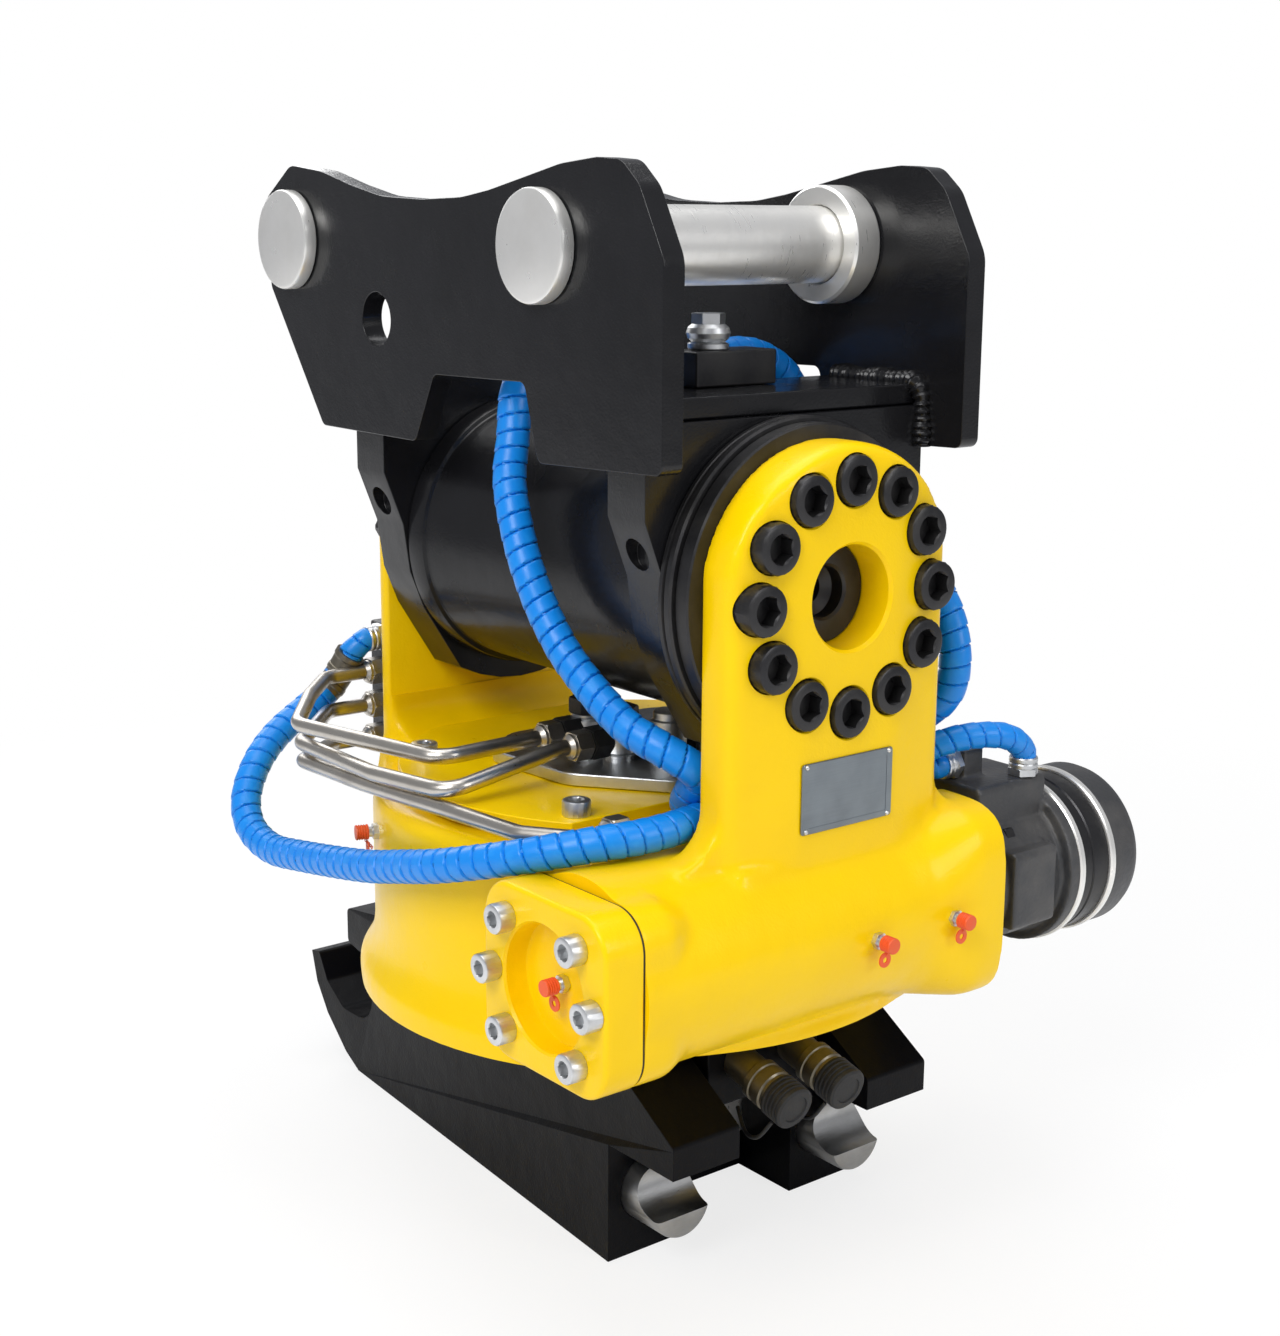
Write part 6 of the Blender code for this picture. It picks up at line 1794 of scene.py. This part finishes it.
@dataclass
class Motor:
    """Hydraulic motor on the worm's far end."""

    shop: Shop
    radius: float = 0.0475
    drum: float = 0.0520
    start: float = 0.1103
    port_end: float = 0.188
    ring_end: float = 0.222
    end: float = 0.250
    port_top: float = 0.266

    @property
    def centre(self) -> Point:
        """Point of the motor's axis."""
        return (WORM_X, 0.0, WORM_Z)

    def build(self) -> None:
        """Build the port housing, the gear ring with its bands, and the end cap."""
        self.port_housing()
        self.rings()
        self.end_cap()

    def port_housing(self) -> None:
        """Build the cast port housing with its elbow."""
        r = self.radius
        low = self.start
        height = self.port_top - WORM_Z
        solids = [
            turned("drum", [(0.0, low - 0.002), (r, low - 0.002), (r, low + 0.012),
                            (r - 0.003, low + 0.014), (r - 0.003, self.port_end + 0.002),
                            (0.0, self.port_end + 0.002)], Axis.Y, self.centre, 96),
            prism("port", rounded([(-0.026, -0.020), (0.026, -0.020), (0.026, height, 0.004),
                                   (-0.026, height, 0.004)]), Axis.Y, low + 0.012,
                  self.port_end - 0.006, (WORM_X, WORM_Z)),
            prism("cheek", box_outline(0.050, 0.024, 0.004), Axis.Y, low + 0.020,
                  self.port_end - 0.020, (WORM_X, WORM_Z)),
            turned("shoulder", [(0.0, self.port_end - 0.008), (self.drum, self.port_end - 0.008),
                                (self.drum, self.port_end + 0.002), (0.0, self.port_end + 0.002)],
                   Axis.Y, self.centre, 96),
            block("elbow", (WORM_X - 0.0115, 0.1305, self.port_top - 0.004),
                  (WORM_X + 0.0055, 0.1475, self.port_top + 0.0178)),
        ]
        skin = cast(gathered("motor_casting_skin", solids), 0.0013, 4)
        combined(skin, Cut.CUT,
                 block("near", (0.0, 0.0, 0.0), (0.4, low, 0.4)),
                 block("far", (0.0, self.port_end, 0.0), (0.4, 0.4, 0.4)))
        self.shop.hand_over(shaded(skin, 38.0), Body.HOUSING, Surface.CASTING,
                            "motor_port_housing")
        places = round_places(Axis.Y, self.start + 0.0305, (WORM_X, WORM_Z), 0.0385,
                              (45, 135, 225, 315))
        bolts = copies("motor_flange_bolts", hex_nut("bolt", 0.013, 0.007), places)
        self.shop.hand_over(bolts, Body.HOUSING, Surface.OXIDE)

    def rings(self) -> None:
        """Build the gear ring: a dark drum between two bright bands."""
        r = self.drum
        low, high = self.port_end + SEAT, self.ring_end
        drum = turned("motor_drum", [
            (0.0, low + 0.005), (r - 0.0012, low + 0.005), (r - 0.0012, low + 0.013),
            (r - 0.0022, low + 0.0138), (r - 0.0022, low + 0.0148), (r - 0.0012, low + 0.0156),
            (r - 0.0012, high - 0.005), (0.0, high - 0.005)], Axis.Y, self.centre, 96)
        self.shop.hand_over(shaded(drum), Body.HOUSING, Surface.OXIDE)
        bands = []
        for start, stop in ((low, low + 0.0048), (high - 0.0048, high)):
            bands.append(turned("band", [
                (0.0, start), (r, start), (r + 0.001, start + 0.0008), (r + 0.001, stop - 0.0008),
                (r, stop), (0.0, stop)], Axis.Y, self.centre, 96))
        ring = shaded(gathered("motor_bands", bands))
        self.shop.hand_over(ring, Body.HOUSING, Surface.STEEL, "motor_gear_ring")

    def end_cap(self) -> None:
        """Build the motor's end cap with its seven bolts."""
        r = self.drum
        low = self.ring_end + SEAT
        cap = turned("motor_cap_skin", [
            (0.0, low), (r - 0.0006, low), (r, low + 0.0008), (r, self.end - 0.010),
            (r - 0.002, self.end - 0.005), (r - 0.006, self.end - 0.0025),
            (r - 0.011, self.end - 0.0022), (0.020, self.end - 0.0022),
            (0.0185, self.end - 0.0010), (0.017, self.end - 0.0005), (0.0, self.end - 0.0005)],
            Axis.Y, self.centre, 96)
        self.shop.hand_over(shaded(cap), Body.HOUSING, Surface.CASTING, "motor_end_cap")
        places = round_places(Axis.Y, self.end - 0.0072, (WORM_X, WORM_Z), 0.031,
                              [90 + 360 * k / 7 for k in range(7)])
        bolts = copies("motor_cap_bolts", hex_nut("bolt", 0.011, 0.0068), places)
        self.shop.hand_over(bolts, Body.HOUSING, Surface.OXIDE)


@dataclass
class LowerCoupler:
    """Black lower coupler with its lock tongues, feed block and quick couplings."""

    shop: Shop
    tongue_radius: float = 0.0204
    tongue_y: float = 0.0698
    tongue_z: float = 0.040
    tongue_back: float = 0.050
    tongue_tip: float = 0.131
    seat: Flat = (0.130, 0.0545)
    seat_radius: float = 0.020
    coupling_y: float = 0.021
    coupling_face: Flat = (0.171, 0.1005)
    dip: float = 15.0

    def build(self) -> None:
        """Build the coupler's pieces."""
        self.shop.refine("coupler_body", Body.COUPLER, Surface.COUPLER, 0.0016)
        self.shop.refine("feed_block", Body.COUPLER, Surface.COUPLER, 0.0014)
        self.tongues()
        self.couplings()

    def tongues(self) -> None:
        """Turn both lock tongues and scoop the seat out of their tips."""
        for name, side in (("lock_tongue_near", -1.0), ("lock_tongue_far", 1.0)):
            r = self.tongue_radius
            low = self.tongue_back + SEAT
            tip = self.tongue_tip
            tongue = turned(name + "_skin", [
                (0.0, low), (r - 0.001, low), (r, low + 0.001), (r, tip - 0.003),
                (r - 0.0008, tip - 0.001), (r - 0.003, tip), (0.0, tip)],
                Axis.X, (0.0, side * self.tongue_y, self.tongue_z), 96)
            scoop = rod("scoop", self.seat_radius, -0.03, 0.03, Axis.Y,
                        (self.seat[0], side * self.tongue_y, self.seat[1]), 128)
            combined(tongue, Cut.CUT, scoop, solver="EXACT")
            self.shop.hand_over(shaded(tongue), Body.LOCK, Surface.LOCK, name)

    def couplings(self) -> None:
        """Turn the quick couplings with their sleeves, and the rubber dust caps with tethers."""
        aim = Matrix.Rotation(math.radians(90 + self.dip), 4, "Y")
        for name, side in (("near", -1.0), ("far", 1.0)):
            centre = (self.coupling_face[0], side * self.coupling_y, self.coupling_face[1])
            body = turned("coupling_" + name + "_skin", [
                (0.0, -0.056), (0.0108, -0.056), (0.0108, -0.034), (0.0118, -0.0335),
                (0.0130, -0.0325), (0.0130, -0.0285), (0.0122, -0.0278), (0.0122, -0.0262),
                (0.0130, -0.0255), (0.0130, -0.0195), (0.0120, -0.0185), (0.0120, -0.0163),
                (0.0, -0.0163)], Axis.X, centre, 64, aim)
            trim = block("trim", (-0.05, -0.1, 0.0), (0.1206, 0.1, 0.3))
            combined(body, Cut.CUT, trim, solver="EXACT")
            self.shop.hand_over(shaded(body), Body.COUPLER, Surface.SLEEVE,
                                "coupling_" + name)
            profile = [(0.0, -0.016), (0.0130, -0.016), (0.0135, -0.0155)]
            for k in range(4):
                start = -0.014 + 0.003 * k
                profile += [(0.0135, start), (0.0126, start + 0.0006), (0.0126, start + 0.0014),
                            (0.0135, start + 0.002)]
            profile += [(0.0132, -0.0012), (0.0118, -0.0002), (0.0085, 0.0), (0.0080, -0.0008),
                        (0.0, -0.0008)]
            cap = turned("dust_cap_" + name + "_skin", profile, Axis.X, centre, 64, aim)
            start = Vector(centre) + Vector((-0.006, -0.013, -0.006))
            loop = smooth_route([
                tuple(start), tuple(start + Vector((-0.006, -0.005, -0.010))),
                tuple(start + Vector((-0.020, -0.002, -0.013))),
                tuple(start + Vector((-0.034, 0.004, -0.004)))], 0.001)
            tether = swept("tether", loop, lambda gone, turn: 0.0012, 10)
            whole = shaded(gathered("dust_cap_" + name + "_rubber", [cap, tether]))
            self.shop.hand_over(whole, Body.COUPLER, Surface.RUBBER, "dust_cap_" + name)


@dataclass
class Plumbing:
    """Port blocks, bent steel pipes and the hoses in their blue spiral guards."""

    shop: Shop
    pipe_radius: float = 0.0048
    bend: float = 0.016
    hose_radius: float = 0.0078
    guard: float = 0.0099
    turn_length: float = 0.0100
    port_x: float = -0.203
    port_y: float = -0.0623
    head_y: float = -0.0583
    block_z: float = 0.2753
    near_y: float = -0.0403
    far_y: float = 0.0603
    top: float = 0.5153

    def build(self) -> None:
        """Build the blocks, the pipes and the hoses."""
        self.shop.refine("rear_port_block", Body.HOUSING, Surface.CASTING, 0.0018)
        self.shop.refine("front_port_block", Body.HOUSING, Surface.OXIDE, 0.0018)
        self.pipes()
        self.fixed_hoses()
        self.tilting_hoses()

    def pipes(self) -> None:
        """Bend the three pipes from the swivel's head and the case to the rear block."""
        x, rear, head = self.port_x, self.port_y, self.head_y
        routes: dict[str, list[Point]] = {
            "pipe_upper": [
                (-0.008, head, 0.2915), (-0.008, -0.143, 0.2900), (-0.126, -0.171, 0.291),
                (-0.166, -0.139, 0.297), (x, -0.106, 0.2975), (x, rear, 0.2975)],
            "pipe_middle": [
                (0.0215, head, 0.2915), (0.0215, -0.079, 0.2915), (0.022, -0.157, 0.279),
                (-0.041, -0.168, 0.278), (-0.136, -0.163, 0.276), (x, -0.105, 0.2745),
                (x, rear, 0.2745)],
            "pipe_lower": [
                (0.118, -0.1053, 0.2705), (0.118, -0.134, 0.2705), (0.085, -0.152, 0.269),
                (0.020, -0.1575, 0.2685), (-0.058, -0.164, 0.267), (-0.140, -0.160, 0.263),
                (x, -0.103, 0.2515), (x, rear, 0.2515)],
        }
        for name, points in routes.items():
            wire = swept(name + "_tube", bent_route(points, self.bend),
                         lambda gone, turn: self.pipe_radius, 24)
            parts = [wire]
            for end, inner in ((points[0], points[1]), (points[-1], points[-2])):
                direction = Vector(inner) - Vector(end)
                nut = gathered("nut", [
                    hex_nut("hex", 0.0165, 0.0110),
                    turned("cone", [(0.0, 0.0108), (0.0078, 0.0108), (0.0074, 0.0128),
                                    (0.0052, 0.0148), (0.0, 0.0148)], Axis.Z, sides=36)])
                nut.data.transform(facing(end, tuple(direction)))
                parts.append(nut)
            whole = shaded(gathered(name + "_skin", parts))
            self.shop.hand_over(whole, Body.HOUSING, Surface.STAINLESS, name)

    def hose(self, name: str, points: Sequence[Point], girth: float) -> tuple[Item, list[Item]]:
        """Make one hose in its wound guard, and the fitting of each end.

        Args:
            name: The hose's name.
            points: Points of its route, both ends included.
            girth: Radius of the guard away from the ends.

        Returns:
            The guard and the two fittings.
        """
        first, last = Vector(points[0]), Vector(points[-1])
        middle = smooth_route(points[1:-1], 0.0007)
        steps = [middle[0].lerp(first, 1 - k / 8) for k in range(8)]
        ends = [middle[-1].lerp(last, (k + 1) / 8) for k in range(8)]
        route = steps + middle + ends
        total = sum((b - a).length for a, b in zip(route, route[1:]))

        def radius_at(gone: float, turn: float) -> float:
            """Return the guard's radius, with a groove between its turns and slim ends.

            Args:
                gone: Distance along the hose.
                turn: Share of a turn round it.

            Returns:
                The radius.
            """
            ramp = min(1.0, max(0.0, (min(gone, total - gone) - 0.014) / 0.030))
            radius = self.hose_radius + (girth - self.hose_radius) * ramp
            share = (gone / self.turn_length - turn) % 1.0
            if share < 0.13:
                return radius - 0.0024 * math.sin(math.pi * share / 0.13)
            return radius - 0.0005 * (1.0 - share)

        guard = swept(name + "_guard", route, radius_at, 24)
        fittings = []
        for place, inner in ((points[0], points[1]), (points[-1], points[-2])):
            direction = Vector(inner) - Vector(place)
            ferrule = turned("ferrule", [
                (0.0, 0.0040), (0.0084, 0.0040), (0.0088, 0.0048), (0.0088, 0.0068),
                (0.0084, 0.0076), (0.0088, 0.0084), (0.0088, 0.0104), (0.0084, 0.0112),
                (0.0, 0.0112)], Axis.Z, sides=36)
            fitting = gathered("fitting", [hex_nut("hex", 0.0168, 0.0042), ferrule])
            fitting.data.transform(facing(place, tuple(direction)))
            fittings.append(shaded(fitting, 24.0))
        return shaded(guard, 50.0), fittings

    def front_port(self, x: float, side: float) -> list[Point]:
        """Find a port on the front block.

        Args:
            x: The port's place along X.
            side: -1 for the near face and 1 for the far one.

        Returns:
            The port's centre, and a point straight off it.
        """
        face = self.near_y if side < 0 else self.far_y
        return [(x, face, self.block_z), (x, face + side * 0.016, self.block_z)]

    def fixed_hoses(self) -> None:
        """Lay the hoses that start and end on the housing."""
        x, z = self.port_x, self.block_z
        routes: dict[str, list[Point]] = {
            "hose_long": [
                (x, self.port_y, 0.3205), (-0.2040, -0.0745, 0.3195), (-0.209, -0.082, 0.311),
                (-0.2150, -0.087, 0.298), (-0.2175, -0.096, 0.286), (-0.2175, -0.1107, 0.2765),
                (-0.2145, -0.1367, 0.262), (-0.205, -0.158, 0.247), (-0.195, -0.172, 0.228),
                (-0.180, -0.177, 0.2125), (-0.152, -0.178, 0.206), (-0.115, -0.1785, 0.2105),
                (-0.036, -0.180, 0.2248), (0.010, -0.181, 0.2365), (0.0505, -0.180, 0.2473),
                (0.100, -0.166, 0.262), (0.132, -0.138, 0.2718), (0.1410, -0.112, 0.2735),
                (0.1420, -0.088, 0.2745), (0.138, -0.070, 0.2753),
                *reversed(self.front_port(0.132, -1.0))],
            "hose_motor_far": [
                *self.front_port(0.1375, 1.0), (0.140, 0.084, 0.280), (0.145, 0.099, 0.288),
                (0.156, 0.120, 0.295), (0.164, 0.143, 0.295), (0.166, 0.158, 0.290),
                (0.164, 0.170, 0.281), (0.164, 0.170, 0.2663)],
            "hose_motor_near": [
                *self.front_port(0.1195, 1.0), (0.123, 0.086, z), (0.134, 0.102, z),
                (0.143, 0.116, z), (0.143, 0.1302, z)],
        }
        for name, points in routes.items():
            girth = self.hose_radius + 0.0004 if "motor" in name else self.guard
            guard, fittings = self.hose(name, points, girth)
            self.shop.hand_over(guard, Body.HOUSING, Surface.BLUE, name)
            self.shop.hand_over(shaded(gathered(name + "_fittings", fittings), 24.0),
                                Body.HOUSING, Surface.ZINC)
        sleeve = smooth_route(routes["hose_long"][1:-1], 0.001)[14:46]
        tube = swept("hose_long_sleeve", sleeve, lambda gone, turn: 0.0098 + 0.0006 * (
            int(gone * 250) % 3 == 0), 24)
        self.shop.hand_over(shaded(tube), Body.HOUSING, Surface.SLEEVE)

    def tilting_hoses(self) -> None:
        """Lay the hoses that leave the hitch and end on the housing."""
        top = self.top
        start = 0.0577
        routes: dict[str, list[Point]] = {
            "hose_tilt_near": [
                (start, -0.012, top), (start - 0.016, -0.012, top), (0.024, -0.026, 0.519),
                (0.008, -0.055, 0.522), (-0.002, -0.080, 0.515), (-0.003, -0.090, 0.500),
                (0.002, -0.096, 0.475), (0.008, -0.103, 0.454), (0.017, -0.107, 0.436),
                (0.026, -0.108, 0.416), (0.034, -0.108, 0.401), (0.044, -0.106, 0.382),
                (0.058, -0.103, 0.362), (0.074, -0.101, 0.348), (0.095, -0.098, 0.333),
                (0.112, -0.0955, 0.3240), (0.129, -0.088, 0.316), (0.139, -0.077, 0.307),
                (0.137, -0.067, 0.298), (0.127, -0.0655, 0.288), (0.117, -0.062, 0.2785),
                *reversed(self.front_port(0.113, -1.0))],
            "hose_tilt_far": [
                (start, 0.012, top), (start - 0.014, 0.012, top), (0.034, 0.032, 0.519),
                (0.032, 0.060, 0.518), (0.034, 0.083, 0.506), (0.040, 0.094, 0.484),
                (0.054, 0.105, 0.455), (0.080, 0.116, 0.427), (0.114, 0.123, 0.399),
                (0.136, 0.124, 0.374), (0.146, 0.123, 0.353), (0.148, 0.122, 0.333),
                (0.144, 0.119, 0.318), (0.133, 0.112, 0.306), (0.119, 0.100, 0.296),
                (0.106, 0.088, 0.283), *reversed(self.front_port(0.1015, 1.0))],
        }
        for name, points in routes.items():
            guard, (upper, lower) = self.hose(name, points, self.guard)
            y = points[7][1]
            self.shop.bend_between(guard, Surface.BLUE, (0.0, y, 0.480), (0.115, y, 0.315), name)
            upper.name = name + "_upper_fitting"
            lower.name = name + "_lower_fitting"
            self.shop.hand_over(upper, Body.HITCH, Surface.ZINC)
            self.shop.hand_over(lower, Body.HOUSING, Surface.ZINC)


@dataclass
class SmallParts:
    """Capped test points with their chains, and the bare plate on the front ear."""

    shop: Shop
    ear_face: float = 0.184
    point_scale: float = 0.76
    plate_half: float = 0.0345
    plate_middle: float = -0.001
    plate_low: float = 0.270
    plate_high: float = 0.310

    def build(self) -> None:
        """Build the test points and the plate."""
        self.test_point("test_point_cap", (WORM_X, -0.1663, WORM_Z), (0.0, -1.0, 0.0),
                        "test_point_cap")
        side = Vector((*on_circle(1.0, 249.4), 0.0))
        self.test_point("test_point_side", tuple(side * 0.1655 + Vector((0.0, 0.0, 0.236))),
                        tuple(side), "test_point_side")
        for name, y in (("test_point_case_near", 0.008), ("test_point_case_far", 0.070)):
            self.test_point(name, (WORM_X + 0.0562, y, WORM_Z + 0.001), (1.0, 0.0, 0.0))
        self.plate()

    def test_point(self, name: str, place: Point, direction: Point, *nodes: str) -> None:
        """Build one test point: steel foot, orange cap, chain and tag.

        Args:
            name: The piece's name.
            place: Where it stands.
            direction: Where it points.
            *nodes: CAD node that it stands for, where there is one.
        """
        frame = facing(place, direction) @ Matrix.Scale(self.point_scale, 4)
        foot = gathered(name + "_foot", [
            hex_nut("hex", 0.0115, 0.0050),
            turned("neck", [(0.0, 0.0048), (0.0042, 0.0048), (0.0042, 0.0095), (0.0, 0.0095)],
                   Axis.Z, sides=32)])
        foot.data.transform(frame)
        self.shop.hand_over(shaded(foot, 24.0), Body.HOUSING, Surface.ZINC)
        profile = [(0.0, 0.0085), (0.0058, 0.0085), (0.0062, 0.0090)]
        for k in range(4):
            profile += [(0.0062, 0.0098 + 0.0020 * k), (0.0056, 0.0102 + 0.0020 * k),
                        (0.0056, 0.0108 + 0.0020 * k)]
        profile += [(0.0062, 0.0176), (0.0058, 0.0186), (0.0, 0.0188)]
        cap = turned("cap", profile, Axis.Z, sides=40)
        cap.data.transform(frame)
        links = []
        down = (frame.to_3x3().inverted() @ Vector((0.0, 0.0, -1.0))).normalized()
        for k in range(5):
            centre = Vector((0.0, 0.0, 0.0105 - 0.0012 * k)) + down * (0.0068 + 0.0016 * k)
            route = [centre + down * 0.0011 * math.cos(turn / 2) + Vector((0.0008, 0.0, 0.0008))
                     * math.sin(turn / 2) for turn in range(13)]
            links.append(swept("link", route, lambda gone, turn: 0.0004, 6))
        tag = turned("tag", [(0.0022, 0.0086), (0.0058, 0.0086), (0.0058, 0.0096),
                             (0.0022, 0.0096)], Axis.Z, sides=24)
        tag.data.transform(Matrix.Translation(down * 0.013))
        chain = gathered("chain", links + [tag])
        chain.data.transform(frame)
        whole = shaded(gathered(name + "_skin", [cap, chain]))
        self.shop.hand_over(whole, Body.HOUSING, Surface.ORANGE, *nodes)

    def plate(self) -> None:
        """Build the bare plate, pressed at its rim, with four corner rivets."""
        face = self.ear_face + SEAT
        half_z = (self.plate_high - self.plate_low) / 2
        middle_z = self.plate_low + half_z
        sections = []
        for along, inset in ((face, 0.0), (face + 0.0006, 0.0), (face + 0.0010, 0.0004)):
            outline = box_outline(self.plate_half - inset, half_z - inset, 0.002, 15)
            sections.append((along, [(u + self.plate_middle, v + middle_z) for u, v in outline]))
        plate = loft("plate", sections, Axis.X)
        recess = prism("recess", box_outline(0.030, 0.0165, 0.0015), Axis.X, face + 0.0008,
                       face + 0.01, (self.plate_middle, middle_z))
        combined(plate, Cut.CUT, recess, solver="EXACT")
        self.shop.hand_over(shaded(plate), Body.HOUSING, Surface.PLATE, "nameplate")
        places = []
        for y in (-0.0322, 0.0302):
            for z in (-0.0182, 0.0182):
                places.append(facing((face + 0.0008, y, middle_z + z), (1.0, 0.0, 0.0)))
        rivet = turned("rivet", [(0.0, -0.001), (0.0015, -0.001), (0.0015, 0.0002),
                                 (0.0012, 0.0008), (0.0006, 0.0012), (0.0, 0.0013)], Axis.Z,
                       sides=24)
        self.shop.hand_over(copies("plate_rivets", rivet, places), Body.HOUSING, Surface.ZINC)


INNER_FINISHES: dict[str, Surface] = {
    "worm_wheel": Surface.BRONZE, "lower_bearing": Surface.BRONZE,
    "upper_bearing": Surface.BRONZE, "worm_bearing_near": Surface.BRONZE,
    "worm_bearing_far": Surface.BRONZE, "base_ring": Surface.BLACK, "base_seal": Surface.RUBBER,
    "swivel_sleeve": Surface.STEEL, "lock_cylinder": Surface.STEEL,
    "lock_crosshead": Surface.STEEL, "worm": Surface.STEEL, "motor_shaft": Surface.STEEL,
    "tilt_piston": Surface.STEEL, "spline_ring": Surface.STEEL,
}


def main() -> None:
    """Load the frame and build every sub-assembly around it."""
    logging.basicConfig(level=logging.INFO, format="%(message)s")
    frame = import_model()
    shop = Shop(frame)
    Studio().build()
    for part in (RotorHousing(shop), TiltActuator(shop), Hitch(shop), Swivel(shop), Motor(shop),
                 LowerCoupler(shop), Plumbing(shop), SmallParts(shop)):
        part.build()
    shop.finish_rest(INNER_FINISHES)


if __name__ == "__main__":
    main()
